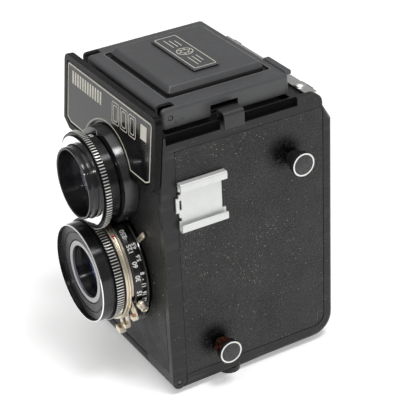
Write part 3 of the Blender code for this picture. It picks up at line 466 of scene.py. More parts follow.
LOOKS = {
    "shell": moulded("moulded_black", (0.012, 0.012, 0.012), 0.28),
    "knob": moulded("knob_black", (0.013, 0.013, 0.014), 0.30, 0.5),
    "skin": pebbled(),
    "gloss": glossy("gloss_black"),
    "bezel": bezel_finish(),
    "hood": painted("hood_paint", (0.063, 0.064, 0.067)),
    # Painted highlight: light paint for the lit ridge outside the lid's moat.
    "hood_edge": painted("hood_edge_paint", (0.17, 0.17, 0.175), 0.3),
    "hook": painted("hook_paint", (0.024, 0.024, 0.024), 0.42),
    "flap": painted("flap_paint", (0.018, 0.018, 0.019), 0.55),
    "anodised": anodised("black_anodised"),
    "taking": anodised("taking_anodised", roughness=0.2, axis_z=TAKE_Z),
    "tube": anodised("tube_anodised", roughness=0.2, axis_z=VIEW_Z),
    "drum": glossy("drum_black", (0.004, 0.004, 0.004), 0.16),
    "take_teeth": toothed("taking_teeth", TAKE_Z, limits("taking_gear")[1].x),
    "view_teeth": toothed("viewing_teeth", VIEW_Z, limits("viewing_gear")[1].x, 0.15),
    "bright": plated("bright_plating", (0.78, 0.78, 0.77), 0.3, (1, 0, 0)),
    "shoe": shoe_satin(),
    "polished": plated("polished_rim", (0.93, 0.93, 0.92), 0.09, stain=0.05),
    "inner": inner_black(),
    "pin": painted("dark_pin", (0.075, 0.055, 0.045), 0.35),
    # Painted shade: near-black paint for the walls and floor of the lid's moat.
    "moat": painted("moat_shade", (0.008, 0.008, 0.009), 0.5),
    "cream": plated("cream_nickel", (0.80, 0.73, 0.60), 0.34, stain=0.25),
    "grey": plated("grey_ring", (0.44, 0.44, 0.45), 0.42, stain=0.15),
    "brass": plated("brass", (0.74, 0.52, 0.24), 0.28),
    "steel": plated("steel", (0.50, 0.50, 0.51), 0.32),
    "baffle": varied("baffle_black", (0.006, 0.006, 0.006), 0.85, relief=(0.3, 2, 0.05, 0.8),
                     tones=((4, 4, 0.3, 0.7), (0.005, 0.005, 0.005), (0.014, 0.014, 0.014))),
    # Painted shadow: near-black for the rebate gap under the lid's skirts.
    "shade": Shader("shadow_gap", (0.002, 0.002, 0.002), 0.9, Specular_IOR_Level=0.1),
    # Painted reflection: the coated glass's blue and the viewing glass's grey body colours stand in for
    # their coatings' reflections.
    "coated": lens_glass("coated_glass", (0.80, 0.84, 1.0), (0.12, 0.18, 0.42), 0.45, 1.0,
                         (0.6, 0.7, 1.0)),
    "viewing": lens_glass("viewing_glass", (0.86, 0.86, 0.95), (0.52, 0.52, 0.56), 0.55, 1.0,
                          (0.9, 0.9, 1.0)),
    "clear": lens_glass("clear_glass", (0.93, 0.95, 0.97), (0.5, 0.5, 0.5), 0.04),
    "lever": lever_cream(),
    "screen": varied("ground_screen", (0.62, 0.64, 0.62), 0.42, dull=(8, 3, 0.3, 0.7, 0.34, 0.5),
                     relief=(0.15, 2, 0.02, 1.0), Transmission_Weight=0.35, IOR=1.45),
    "mirror": varied("silvered", (0.86, 0.87, 0.88), 0.03, 1.0, dull=(9, 4, 0.35, 0.8, 0.02, 0.12)),
    "ruby": varied("ruby_window", (0.42, 0.008, 0.008), 0.12, dull=(3, 3, 0.3, 0.7, 0.08, 0.2),
                   Transmission_Weight=0.55, IOR=1.5),
    "white": ink("scale_white", (0.95, 0.95, 0.93)),
    "ivory": ink("ivory_line", (0.72, 0.69, 0.60)),
    "red": ink("red_dot", (0.75, 0.02, 0.02), 0.4),
    "disc": knob_disc(),
    "brown": varied("brown_barrel", (0.05, 0.015, 0.008), 0.15, dull=(2, 3, 0.3, 0.7, 0.10, 0.22),
                    tones=((2.2, 2, 0.4, 0.75), (0.012, 0.006, 0.004), (0.13, 0.035, 0.018))),
}


# ---------------------------------------------------------------- shapes

def smooth(mesh, angle=35):
    mesh.shade_smooth()
    mesh.set_sharp_from_angle(angle=math.radians(angle))


def piece(name, bm, body, *looks, replaces=(), slot=True):
    """Turn a bmesh into a finished piece that rides on a body."""
    mesh = bpy.data.meshes.new(name)
    bm.to_mesh(mesh)
    bm.free()
    smooth(mesh)
    obj = bpy.data.objects.new(name, mesh)
    bpy.context.scene.collection.objects.link(obj)
    for look in looks:
        mesh.materials.append(LOOKS[look].material)
    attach(obj, body)
    if replaces:
        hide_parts(*replaces)
    return obj


def join_flats(obj):
    """Weld split corners and join flat triangles into whole faces."""
    weld = obj.modifiers.new("weld", "WELD")
    weld.merge_threshold = 0.00001
    flat = obj.modifiers.new("flat faces", "DECIMATE")
    flat.decimate_type = "DISSOLVE"
    flat.angle_limit = math.radians(0.5)


def round_edges(obj, width, segments=2, angle=32):
    """Clean a shape, round its sharp edges and keep its flat faces looking flat."""
    join_flats(obj)
    edge = obj.modifiers.new("rounded edges", "BEVEL")
    edge.width = width * MM
    edge.segments = segments
    edge.limit_method = "ANGLE"
    edge.angle_limit = math.radians(angle)
    edge.harden_normals = False
    edge.miter_outer = "MITER_ARC"
    evened = obj.modifiers.new("even normals", "WEIGHTED_NORMAL")
    evened.weight = 100
    evened.keep_sharp = True
    return obj


def dress(node, look, width=0.0, segments=2, angle=32):
    """Finish a CAD node in place: its material, and rounded edges where it shows."""
    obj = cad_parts[node]
    obj.data.materials.clear()
    obj.data.materials.append(LOOKS[look].material)
    smooth(obj.data, 30)
    if width:
        round_edges(obj, width, segments, angle)
    return obj


def copied(node, tool_bm=None):
    """A CAD node's shape with whole flat faces, less the space of any tool, as a bmesh."""
    blank = bpy.data.objects.new("blank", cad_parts[node].data.copy())
    helpers = [blank]
    join_flats(blank)
    if tool_bm:
        tool_mesh = bpy.data.meshes.new("tool")
        tool_bm.to_mesh(tool_mesh)
        tool_bm.free()
        tool = bpy.data.objects.new("tool", tool_mesh)
        helpers.append(tool)
        groove = blank.modifiers.new("groove", "BOOLEAN")
        groove.object = tool
        groove.solver = "EXACT"
    for obj in helpers:
        bpy.context.scene.collection.objects.link(obj)
    bpy.context.view_layer.update()
    mesh = bpy.data.meshes.new_from_object(blank.evaluated_get(bpy.context.evaluated_depsgraph_get()))
    for obj in helpers:
        bpy.data.objects.remove(obj)
    bm = bmesh.new()
    bm.from_mesh(mesh)
    bpy.data.meshes.remove(mesh)
    return bm


def outer_rim(bm, reach, outwards):
    """Edges between a flat side at +reach or -reach mm and faces that outwards(normal) accepts."""
    found = []
    for edge in bm.edges:
        if len(edge.link_faces) != 2 or any(abs(abs(v.co.x) / MM - reach) > 0.02 for v in edge.verts):
            continue
        normals = [f.normal for f in edge.link_faces]
        if any(abs(n.x) > 0.99 for n in normals) and any(abs(n.x) < 0.1 and outwards(n) for n in normals):
            found.append(edge)
    return found


def bridge(bm, a, b):
    """Faces between two closed rings of vertices."""
    for i in range(len(a)):
        j = (i + 1) % len(a)
        bm.faces.new((a[i], a[j], b[j], b[i]))


def about(axis_z, radius, degrees, forward):
    """A position about a lens axis: radius, angle from +x and distance to the front."""
    a = math.radians(degrees)
    return at(radius * math.cos(a), -forward, axis_z + radius * math.sin(a))


def lathe(profile, centre, direction, steps=96, bm=None, bands=None, flutes=(1, ())):
    """A turned shape from (radius, distance along the direction) points.

    bands gives each stretch its material. A third number in a point is the depth of its flutes, and flutes
    gives their period in steps and which steps of it are cut.
    """
    period, cut = flutes
    bm = bm or bmesh.new()
    turn = UP.rotation_difference(direction)
    rings = []
    for radius, along, *depth in profile:
        if radius == 0:
            rings.append([bm.verts.new(at(*centre) + turn @ Vector((0, 0, along)) * MM)])
            continue
        ring = []
        for i in range(steps):
            a = math.tau * i / steps
            r = radius - depth[0] if depth and i % period in cut else radius
            local = Vector((r * math.cos(a), r * math.sin(a), along))
            ring.append(bm.verts.new(at(*centre) + turn @ local * MM))
        rings.append(ring)
    pairs = list(zip(rings, rings[1:]))
    if profile[0][0] and profile[-1][0]:
        pairs.append((rings[-1], rings[0]))
    for k, (a, b) in enumerate(pairs):
        for i in range(steps):
            j = (i + 1) % steps
            if len(a) == 1:
                corners = (a[0], b[i], b[j])
            elif len(b) == 1:
                corners = (a[i], b[0], a[j])
            else:
                corners = (a[i], b[i], b[j], a[j])
            face = bm.faces.new(corners)
            if bands:
                face.material_index = bands[k % len(bands)]
    bmesh.ops.recalc_face_normals(bm, faces=bm.faces)
    return bm


def soft_corners(profile, radius=0.15, closed=True):
    """Replace each corner of a profile by a small chamfer pair; corners on the axis stay."""
    out = []
    count = len(profile)
    for i, here in enumerate(profile):
        p = Vector(here)
        before, after = Vector(profile[i - 1]), Vector(profile[(i + 1) % count])
        ends = not closed and i in (0, count - 1)
        if p.x == 0 or ends or (not closed and (before.x == 0 and i == 0)):
            out.append(here)
            continue
        for other in (before, after):
            step = other - p
            reach = min(radius, step.length * 0.4)
            q = p + step.normalized() * reach
            out.append((q.x, q.y))
    return out


def box_bm(x, y, z, bm=None, turn=None):
    """A box between limits on each axis, turned about its own middle."""
    bm = bm or bmesh.new()
    made = bmesh.ops.create_cube(bm, size=1.0)["verts"]
    size = Vector((x[1] - x[0], y[1] - y[0], z[1] - z[0])) * MM
    centre = at(sum(x) / 2, sum(y) / 2, sum(z) / 2)
    for v in made:
        local = Vector(a * b for a, b in zip(v.co, size))
        v.co = centre + (turn @ local if turn else local)
    return bm


def bevelled(bm, width, segments=2, angle=40):
    """Round a bmesh's sharp edges."""
    edges = [e for e in bm.edges if len(e.link_faces) == 2 and e.calc_face_angle(0) > math.radians(angle)]
    bmesh.ops.bevel(bm, geom=edges, offset=width * MM, segments=segments, affect="EDGES", profile=0.5)
    return bm


def strip(points, width, height, to_world, bm=None, closed=True):
    """A low flat line along a path of (u, v) points, mitred, raised by a height."""
    bm = bm or bmesh.new()
    count = len(points)
    left, right = [], []
    for i, p in enumerate(points):
        here = Vector(p)
        before = Vector(points[i - 1]) if closed or i else here
        after = Vector(points[(i + 1) % count]) if closed or i < count - 1 else here
        a = (here - before).normalized() if here != before else (after - here).normalized()
        b = (after - here).normalized() if here != after else a
        normal = Vector((-(a + b).y, (a + b).x)).normalized()
        reach = width / 2 / max(0.5, normal.dot(Vector((-a.y, a.x))))
        left.append(here + normal * reach)
        right.append(here - normal * reach)
    rows = []
    for line, top in ((left, 0), (left, height), (right, height), (right, 0)):
        rows.append([bm.verts.new(to_world(p.x, p.y, top)) for p in line])
    last = count if closed else count - 1
    for i in range(last):
        j = (i + 1) % count
        for a, b in zip(rows, rows[1:]):
            bm.faces.new((a[i], a[j], b[j], b[i]))
    bmesh.ops.recalc_face_normals(bm, faces=bm.faces)
    return bm


def arc(centre, radius, start, end, steps):
    """Points on an arc, both ends included, angles in degrees."""
    angles = [math.radians(start + (end - start) * i / steps) for i in range(steps + 1)]
    return [(centre[0] + radius * math.cos(a), centre[1] + radius * math.sin(a)) for a in angles]


def round_box(u, v, radius, steps=6):
    """Outline of a rectangle with round corners."""
    points = []
    for cu, cv, start in ((u[1] - radius, v[1] - radius, 0), (u[0] + radius, v[1] - radius, 90),
                          (u[0] + radius, v[0] + radius, 180), (u[1] - radius, v[0] + radius, 270)):
        points += arc((cu, cv), radius, start, start + 90, steps)
    return points


def figures(text, height):
    """A number as flat triangles: (u, v) points in millimetres about its middle, and faces."""
    curve = bpy.data.curves.new("figures", "FONT")
    curve.body = text
    curve.size = 1.0
    curve.offset = 0.035
    curve.resolution_u = 3
    guide = bpy.data.objects.new("figures", curve)
    bpy.context.scene.collection.objects.link(guide)
    bpy.context.view_layer.update()
    mesh = bpy.data.meshes.new_from_object(guide.evaluated_get(bpy.context.evaluated_depsgraph_get()))
    bpy.data.objects.remove(guide)
    points = [v.co.copy() for v in mesh.vertices]
    faces = [tuple(p.vertices) for p in mesh.polygons]
    low = Vector((min(p.x for p in points), min(p.y for p in points)))
    high = Vector((max(p.x for p in points), max(p.y for p in points)))
    scale = height / (high.y - low.y)
    centre = (low + high) / 2
    bpy.data.meshes.remove(mesh)
    return [((p.x - centre.x) * scale, (p.y - centre.y) * scale) for p in points], faces


def print_on(bm, text, height, to_world):
    """Add a number to a bmesh, each point placed by to_world(u, v)."""
    points, faces = figures(text, height)
    verts = [bm.verts.new(to_world(u, v)) for u, v in points]
    for face in faces:
        try:
            bm.faces.new([verts[i] for i in face])
        except ValueError:
            continue


def on_barrel(axis_z, angle, along, radius_at):
    """to_world for printing around a barrel: u anticlockwise seen from the front, v to the front."""
    def to_world(u, v):
        t = along + v
        radius = radius_at(t) + PRINT_LIFT
        a = math.radians(angle) + u / radius
        return at(radius * math.cos(a), -t, axis_z + radius * math.sin(a))
    return to_world


def dot_on(bm, axis_z, angle, along, radius_at, size, steps=12):
    """A small printed dot on a barrel."""
    place = on_barrel(axis_z, angle, along, radius_at)
    bm.faces.new([bm.verts.new(place(*p)) for p in arc((0, 0), size, 0, 360, steps)[:-1]])


# ---------------------------------------------------------------- casing

# Look, rounding of the edges and nodes of what is finished in place.
DRESSED = (
    ("skin", 0.12, "front_panel side_panel_right side_panel_left"),
    ("hook", 0.18, "strap_lug_right strap_lug_left"),
    ("baffle", 0.1, "light_cone"), ("baffle", 0.2, "film_gate"), ("mirror", 0.1, "mirror"),
    ("screen", 0.1, "focusing_screen"), ("flap", 0.2, "hood_frame takeup_spool"),
    ("pin", 0.1, "door_hinge_pin"), ("brass", 0.2, "tripod_bush"),
    ("steel", 0.15, "pressure_plate winding_shaft shutter_locknut"), ("steel", 0.05, "pressure_spring"),
    ("steel", 0.1, "roller_lower roller_upper"), ("anodised", 0.15, "rear_lens_cell"),
    ("anodised", 0.05, "shutter_blades diaphragm"), ("coated", 0.0, "taking_lens_rear"),
    ("knob", 0.12, "window_cover"), ("ruby", 0.08, "red_window"), ("bright", 0.15, "latch_bar"),
)


def casing():
    """Casing, skins, frames inside and the strap lugs."""
    low, high = limits("body_shell")
    lug_low, lug_high = limits("strap_lug_right")
    rebates = bmesh.new()
    for sign in (1, -1):
        across = sorted((sign * (high.x - REBATE_T), sign * (high.x + 1)))
        for along in ((3.2, lug_low.y - 0.4), (lug_high.y + 0.4, 61.0)):
            box_bm(across, along, (REBATE_Z, high.z + 1), rebates)
    shell = copied("body_shell", rebates)
    # The rebates' walls and ledge get near-black paint: painted shadow for the gap under the lid's skirts.
    for face in shell.faces:
        centre = (face.calc_center_median() - DATUM) / MM
        wall = abs(abs(centre.x) - high.x + REBATE_T) < 0.02 and centre.z > REBATE_Z
        ledge = abs(centre.z - REBATE_Z) < 0.02 and abs(centre.x) > high.x - REBATE_T
        face.material_index = 1 if (wall or ledge) and 3 < centre.y < 61 else 0
    shell_piece = piece("body_shell_rebated", shell, "casing", "shell", "shade", replaces=["body_shell"])
    round_edges(shell_piece, 0.3)
    door = copied("back_door")
    half = limits("back_door")[1].x
    rim = outer_rim(door, half, lambda n: n.y > 0.3 or n.z < -0.3)
    bmesh.ops.bevel(door, geom=rim, offset=1.8 * MM, segments=6, affect="EDGES", profile=0.5)
    door_piece = piece("back_door_rounded", door, "door", "shell", replaces=["back_door"])
    round_edges(door_piece, 0.25)
    for look, width, nodes in DRESSED:
        for node in nodes.split():
            dress(node, look, width)
    dress("accessory_shoe", "shoe", 0.3, 3)


def bezel_plane():
    """to_world for lines on the sloping name plate: u across, v up the slope and a height off it."""
    low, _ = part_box("name_plate")
    foot = Vector((0, low.y, low.z))
    along = Vector((0, math.sin(PLATE_TILT), math.cos(PLATE_TILT)))
    out = Vector((0, -math.cos(PLATE_TILT), math.sin(PLATE_TILT)))
    return lambda u, v, height: foot + Vector((u * MM, 0, 0)) + along * (v * MM) + out * (height * MM)


def name_plate():
    """Raised rim, glossy plate, its ivory outline and two plain ornaments."""
    dress("front_bezel", "bezel", 0.3, 3)
    dress("name_plate", "gloss", 0.12)
    to_world = bezel_plane()
    low, high = limits("name_plate")
    span = (high.z - low.z) / math.cos(PLATE_TILT)
    half = high.x - 0.6
    boss_v = (VIEW_Z - low.z) / math.cos(PLATE_TILT)
    arch_r = 21.7
    foot = 0.75
    spread = math.degrees(math.asin((foot - boss_v) / arch_r))
    top = span - 0.75
    corner = 1.3
    path = [(-half, 2.2), (-half + 2.9, foot)]
    path += arc((0, boss_v), arch_r, 180 - spread, spread, 36)
    path += [(half - 2.9, foot), (half, 2.2)]
    path += arc((half - corner, top - corner), corner, 0, 90, 6)
    path += arc((-half + corner, top - corner), corner, 90, 180, 6)
    line = strip(path, 0.5, PAINT_H, to_world)
    piece("plate_outline", line, "casing", "ivory")
    marks = bmesh.new()
    head = top - 2.0
    for i in range(12):
        u = -half + 4.4 + i * 2.15
        strip([(u, head - 5.4), (u, head)], 1.3, PAINT_H, to_world, marks, closed=False)
    piece("plate_bars", marks, "casing", "ivory")
    frames = bmesh.new()
    width = 5.4
    for start in (30.5, 23.8, 17.1):
        u = half - start
        for inset in (0.0, 1.15):
            edge = round_box((u + inset, u + width - inset), (head - 8.6 + inset, head - inset), 0.7, 3)
            strip(edge, 0.3, PAINT_H, to_world, frames)
    strip([(half - 5.6, head - 6.4), (half - 5.6, head - 0.4)], 4.6, PAINT_H, to_world, frames,
          closed=False)
    piece("plate_frames", frames, "casing", "ivory")


def boss_marks():
    """White index line on top of the boss."""
    marks = bmesh.new()
    face = -limits("viewing_scale_ring")[1].y - 0.4

    def to_world(u, v, height):
        return at(u, -(face + height + 0.02), VIEW_Z + v)
    strip([(0, 17.6), (0, 19.2)], 0.5, 0.05, to_world, marks, closed=False)
    piece("focus_index", marks, "casing", "white")


# ---------------------------------------------------------------- hood

def moat_tool():
    """The groove pressed into the lid around its raised square, as a tool to cut with."""
    bm = bmesh.new()
    high, low = LID_TOP + WALL_H, LID_TOP - MOAT_DEPTH
    rows = []
    for grow, level in ((MOAT_W, high), (0, high), (0, low), (MOAT_W - 0.3, low)):
        half_x, half_y = SQUARE[0] + grow, SQUARE[1] + grow
        outline = round_box((-half_x, half_x), (-half_y, half_y), 1.2, 3)
        rows.append([bm.verts.new(at(u, SQUARE_Y + v, level)) for u, v in outline])
    for a, b in zip(rows, rows[1:] + rows[:1]):
        bridge(bm, a, b)
    bmesh.ops.recalc_face_normals(bm, faces=bm.faces)
    return bm


def lid_marks():
    """Painted highlight line outside the moat, for the lit edge of its ridge; two rivets on each skirt and
    two small press marks at the front.
    """
    half_x, half_y = (half + MOAT_W + 0.2 for half in SQUARE)
    outline = round_box((-half_x, half_x), (SQUARE_Y - half_y, SQUARE_Y + half_y), 1.3, 4)
    # The light line is a painted highlight along the moat's outer ridge.
    edge = strip(outline, 0.22, 0.07, lambda u, v, height: at(u, v, LID_TOP + height))
    piece("moat_edge", edge, "lid", "hood_edge", slot=False)
    rivets = bmesh.new()
    side = limits("hood_lid")[1].x
    for sign in (1, -1):
        for y, z in ((10.6, 115.4), (13.4, 116.0)):
            dome = [(0, 0.28), (0.3, 0.24), (0.5, 0.1), (0.55, -0.1), (0, -0.1)]
            lathe(dome, (sign * side, y, z), RIGHT * sign, 20, rivets)
    for x in (-1.6, 1.6):
        lathe([(0, 0.12), (0.35, 0.08), (0.5, -0.1), (0, -0.1)], (x, 9.4, LID_TOP), UP, 16, rivets)
    piece("lid_rivets", rivets, "lid", "hood")


def hood():
    """Lid with its moat and badge, flaps, magnifier, pins and rivets."""
    pressed = copied("hood_lid", moat_tool())
    for face in pressed.faces:
        centre = (face.calc_center_median() - DATUM) / MM
        near = abs(centre.x) < SQUARE[0] + MOAT_W and abs(centre.y - SQUARE_Y) < SQUARE[1] + MOAT_W
        sunk = LID_TOP - MOAT_DEPTH - 0.1 < centre.z < LID_TOP - 0.3
        wall = abs(centre.z - LID_TOP) < 0.9 and abs(face.normal.z) < 0.5
        # The groove's walls and floor get the near-black paint: painted shade in the moat.
        face.material_index = 1 if near and (sunk or wall) else 0
    lid = piece("hood_lid_pressed", pressed, "lid", "hood", "moat", replaces=["hood_lid"])
    lid_marks()
    dress("hood_badge", "hood", 0.3, 3)
    for side in ("right", "left"):
        dress("hood_pin_" + side, "pin", 0.12)
        dress("hood_flap_" + side, "flap", 0.1)
    dress("hood_flap_rear", "flap", 0.1)
    round_edges(lid, 0.22, 2, 40)

    low, high = limits("hood_badge")
    edge = 1.1
    top = high.z

    def on_badge(u, v, height):
        return at(u, v, top + height)
    lines = strip(round_box((low.x + edge, high.x - edge), (low.y + edge, high.y - edge), 0.6, 4), 0.3,
                  BADGE_PAINT_H, on_badge)
    centre_y = (low.y + high.y) / 2
    for radius in (3.2, 1.5):
        strip(arc((0, centre_y), radius, 0, 360, 32)[:-1], 0.32, BADGE_PAINT_H, on_badge, lines)
    for i in range(6):
        a = math.radians(60 * i)
        start = Vector((1.5 * math.cos(a), centre_y + 1.5 * math.sin(a)))
        end = Vector((3.2 * math.cos(a + 0.9), centre_y + 3.2 * math.sin(a + 0.9)))
        strip([start, end], 0.28, BADGE_PAINT_H, on_badge, lines, closed=False)
    for sign in (-1, 1):
        for k, v in enumerate((-1.8, 0.0, 1.8)):
            reach = 13.6 - 1.2 * k
            strip([(sign * 5.4, centre_y + v), (sign * reach, centre_y + v)], 0.32, BADGE_PAINT_H,
                  on_badge, lines, closed=False)
    piece("badge_lines", lines, "lid", "ivory")

    dress("magnifier_frame", "bright", 0.12)
    low, high = limits("magnifier_lens")
    mid = middle("magnifier_lens")
    half = (high.z - low.z) / 2
    radius = (high.x - low.x) / 2
    upper = [(radius * s, half - (half - 0.4) * s * s) for s in (1, 0.8, 0.6, 0.4, 0.2, 0)]
    profile = [(0, -half)] + [(r, -t) for r, t in reversed(upper[:-1])] + upper
    piece("magnifier_glass", lathe(profile, mid, UP, 64), "magnifier", "clear",
          replaces=["magnifier_lens"])


# ---------------------------------------------------------------- knobs

def spool_knob(node, side, barrel):
    """Pull-out knob: knurled head with a white end ring and a rough disc, on a smooth neck."""
    low, high = limits(node)
    centre = Vector((0, (low.y + high.y) / 2, (low.z + high.z) / 2))
    reach = high.x if side > 0 else -low.x
    inner = low.x if side > 0 else -high.x
    radius = (high.z - low.z) / 2
    direction = RIGHT * side
    knurl = 0.16
    steps = 160
    profile = [(radius - 0.10, reach - 0.05), (radius, reach - 0.3), (radius, reach - 1.2),
               (radius - 0.15, reach - 1.4), (radius - 0.5, reach - 1.5), (radius - 0.5, reach - 1.75),
               (radius - 0.2, reach - 1.85, knurl), (radius - 0.3, reach - 3.3, knurl),
               (radius - 0.6, reach - 3.6), (radius - 1.35, reach - 3.8), (radius - 1.45, reach - 7.1),
               (2.9, reach - 7.15), (2.9, inner + 3.9), (2.2, inner + 3.8), (2.2, inner + 0.2),
               (2.0, inner), (0, inner)]
    bands = [0] * 3 + [1] * 7 + [0] * 6
    bm = lathe(profile, centre, direction, steps, bands=bands, flutes=(4, (0, 1)))
    bm.verts.ensure_lookup_table()
    bm.faces.new(bm.verts[:steps][::-1])    # closes the outer end
    bmesh.ops.recalc_face_normals(bm, faces=bm.faces)
    piece(node + "_barrel", bm, node, "knob", barrel, replaces=[node])
    outer, hole = radius - 0.16, radius - 0.84
    ring = [(outer, reach - 0.08), (outer, reach), (hole + 0.1, reach), (hole, reach - 0.08)]
    ring_bm = lathe(soft_corners(ring, 0.04), centre, direction, 72)
    piece(node + "_white_ring", ring_bm, node, "white", slot=False)
    disc = [(0, reach - 0.03), (hole - 0.15, reach - 0.03), (hole - 0.05, reach - 0.09), (0, reach - 0.1)]
    piece(node + "_disc", lathe(disc, centre, direction, 48), node, "disc")


def winding_knob():
    """Large ribbed knob with a dished face, a raised rim and a plain arrow."""
    low, high = limits("winding_knob")
    centre = Vector((0, (low.y + high.y) / 2, (low.z + high.z) / 2))
    reach, foot = -low.x, -high.x
    radius = (high.z - low.z) / 2
    rib = 0.45
    profile = [(0, reach - 0.8), (7.9, reach - 0.8), (8.3, reach - 0.7), (8.6, reach - 0.1), (8.9, reach),
               (radius - 1.2, reach), (radius - 0.7, reach - 0.2), (radius, reach - 0.9, rib),
               (radius, foot + 0.8, rib), (radius - 0.5, foot), (0, foot)]
    bm = lathe(profile, centre, -RIGHT, 192, flutes=(4, (0, 1)))
    piece("winding_knob_ribbed", bm, "winder", "knob", replaces=["winding_knob"])

    def on_face(u, v, height):
        return at(-(reach - 0.8 + height), centre.y + u, centre.z + v)
    arrow = strip(arc((0, 0), 5.6, 30, 150, 20), 0.8, 0.07, on_face, closed=False)
    tip = arc((0, 0), 5.6, 27, 27, 1)[0]
    head = [(tip[0] - 1.9, tip[1] + 0.3), tip, (tip[0] + 0.5, tip[1] + 2.0)]
    strip(head, 0.6, 0.07, on_face, arrow, closed=False)
    piece("winding_arrow", arrow, "winder", "white", slot=False)


# ---------------------------------------------------------------- lenses

def ribbed_ring(name, node, body, look, axis_z, teeth, phase, bore):
    """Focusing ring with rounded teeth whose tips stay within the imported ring's teeth."""
    low, high = limits(node)
    front, back = -low.y, -high.y
    tip = (high.x - low.x) / 2
    root = MODULE * teeth / 2 - TOOTH_ROOT
    shares = ((-0.25, 0), (-0.19, 0.55), (-0.125, 1), (0.125, 1), (0.19, 0.55), (0.25, 0), (0.5, 0))
    rows = ((back, 0.2), (back + 0.2, 0), (front - 0.2, 0), (front, 0.2))
    bm = bmesh.new()
    rings = []
    for along, drop in rows:
        ring = []
        for i in range(teeth):
            for share, rise in shares:
                r = root - drop * 0.3 + (tip - root) * rise - drop * rise
                place = about(axis_z, r, 90 + (i + phase + share) * 360 / teeth, along)
                ring.append(bm.verts.new(place))
        rings.append(ring)
    inner = []
    for along in (front, back):
        places = [about(axis_z, bore, 90 + (i + phase) * 360 / teeth, along) for i in range(teeth)]
        inner.append([bm.verts.new(p) for p in places])
    for a, b in zip(rings, rings[1:]):
        bridge(bm, a, b)
    per = len(shares)
    for outer, hole in ((rings[-1], inner[0]), (rings[0], inner[1])):
        for i in range(teeth):
            j = (i + 1) % teeth
            run = [outer[i * per + k] for k in range(per)] + [outer[(j * per) % len(outer)]]
            bm.faces.new(run + [hole[j], hole[i]])
    bridge(bm, *inner)
    bmesh.ops.recalc_face_normals(bm, faces=bm.faces)
    piece(name, bm, body, look, replaces=[node])


def taking_lens():
    """Front barrel, its bright lip, retaining ring, coated glass and toothed ring."""
    axis = (0, 0, TAKE_Z)
    ribbed_ring("taking_ring", "taking_gear", "taking_focus", "take_teeth", TAKE_Z, TAKE_TEETH, 0, 14.1)
    reach = LENS_REACH
    barrel = [(13.6, 8.2), (13.6, 13.8), (20.3, 13.8), (20.5, 14.1), (20.5, 15.0), (20.35, 15.1),
              (20.35, 15.3),
              (20.5, 15.4), (20.5, reach - 0.25), (20.3, reach), (20.0, reach), (19.8, reach - 0.2),
              (19.75, 18.3), (19.6, 17.9), (19.6, 17.7), (19.1,
                                                          17.35), (17.2, 17.3), (17.0, 17.0), (16.7,
                                                                                               17.0),
              (16.5, 17.3), (13.6, 17.2), (13.4, 17.0), (13.4,
                                                         15.8), (11.2, 15.8), (11.0, 15.2), (11.1, 15.0),
              (10.8, 14.4), (10.9, 14.2), (10.6, 13.6), (10.7, 13.4), (10.4, 12.6), (10.4, 8.2)]
    rim = barrel.index((20.5, reach - 0.25))
    bands = [0] * rim + [1] * 2 + [2] * (len(barrel) - rim - 2)
    piece("taking_hood", lathe(barrel, axis, FRONT, 144, bands=bands), "taking_focus", "taking",
          "polished",
          "inner", replaces=["taking_barrel"])
    collar = [(11.0, 17.0), (11.2, 17.15), (12.9, 17.15), (13.1, 17.0), (13.1, 16.1), (11.0, 16.1)]
    piece("taking_collar", lathe(collar, axis, FRONT, 96), "taking_focus", "grey",
          replaces=["taking_retaining_ring"])
    dome = [(10.1 * s, 12.0 - 1.6 * s * s) for s in DOME_STEPS]
    glass = [(0, 8.6)] + [(10.1, 8.8)] + dome
    piece("taking_glass", lathe(glass, axis, FRONT, 96), "taking_focus", "coated",
          replaces=["taking_lens_front"])


def viewing_lens():
    """Viewing tube, bright face ring, scale ring, glass and toothed ring."""
    axis = (0, 0, VIEW_Z)
    ribbed_ring("viewing_ring", "viewing_gear", "viewing_focus", "view_teeth", VIEW_Z, VIEW_TEETH, 0.5,
                15.0)
    scale = [(14.9, 6.9), (17.1, 6.9), (17.2, 7.0), (17.2, 11.2), (17.1, 11.3), (14.9, 11.3)]
    piece("viewing_scale", lathe(scale, axis, FRONT, 96), "viewing_focus", "tube",
          replaces=["viewing_scale_ring"])
    face = [(14.9, 14.2), (18.1, 14.2), (18.3, 14.4), (18.3, 14.7), (18.1, 14.9), (15.1, 14.9),
            (14.9, 14.8)]
    piece("viewing_face", lathe(face, axis, FRONT, 120, bands=[1, 1, 1, 1, 0, 1, 1]), "viewing_focus",
          "polished",
          "anodised", replaces=["viewing_face_ring"])
    reach = -limits("viewing_tube")[0].y
    tube = [(12.0, -1.4), (14.5, -1.4), (14.5, 15.2), (14.3, 15.5), (14.3, 16.4), (14.5, 16.7),
            (14.5, reach - 0.3),
            (14.3, reach), (13.8, reach), (13.5, reach - 0.3), (13.3, 13.0), (13.2, 12.6), (13.3,
                                                                                            12.4), (13.15,
                                                                                                    11.8),
            (13.2, 11.6), (13.1, 11.0), (13.2, 8.0), (12.0, 8.0)]
    piece("viewing_barrel", lathe(tube, axis, FRONT, 120), "viewing_focus", "tube",
          replaces=["viewing_tube"])
    dome = [(12.9 * s, 10.9 - 1.5 * s * s) for s in DOME_STEPS]
    glass = [(0, 8.5), (12.9, 8.3)] + dome
    piece("viewing_glass", lathe(glass, axis, FRONT, 96), "viewing_focus", "viewing",
          replaces=["viewing_lens_front"])
    numbers = bmesh.new()
    for i, text in enumerate(("1.4", "1.7", "2", "2.5", "3", "4", "6", "11")):
        angle = 96 + 24 * i
        print_on(numbers, text, 1.7, on_barrel(VIEW_Z, angle, 8.4, lambda t: 17.2))
        dot_on(numbers, VIEW_Z, angle, 10.1, lambda t: 17.2, 0.28)
    piece("distance_numbers", numbers, "viewing_focus", "white", slot=False)


def outward(degrees):
    """The direction away from a lens axis at an angle from +x."""
    return Vector((math.cos(math.radians(degrees)), 0, math.sin(math.radians(degrees))))


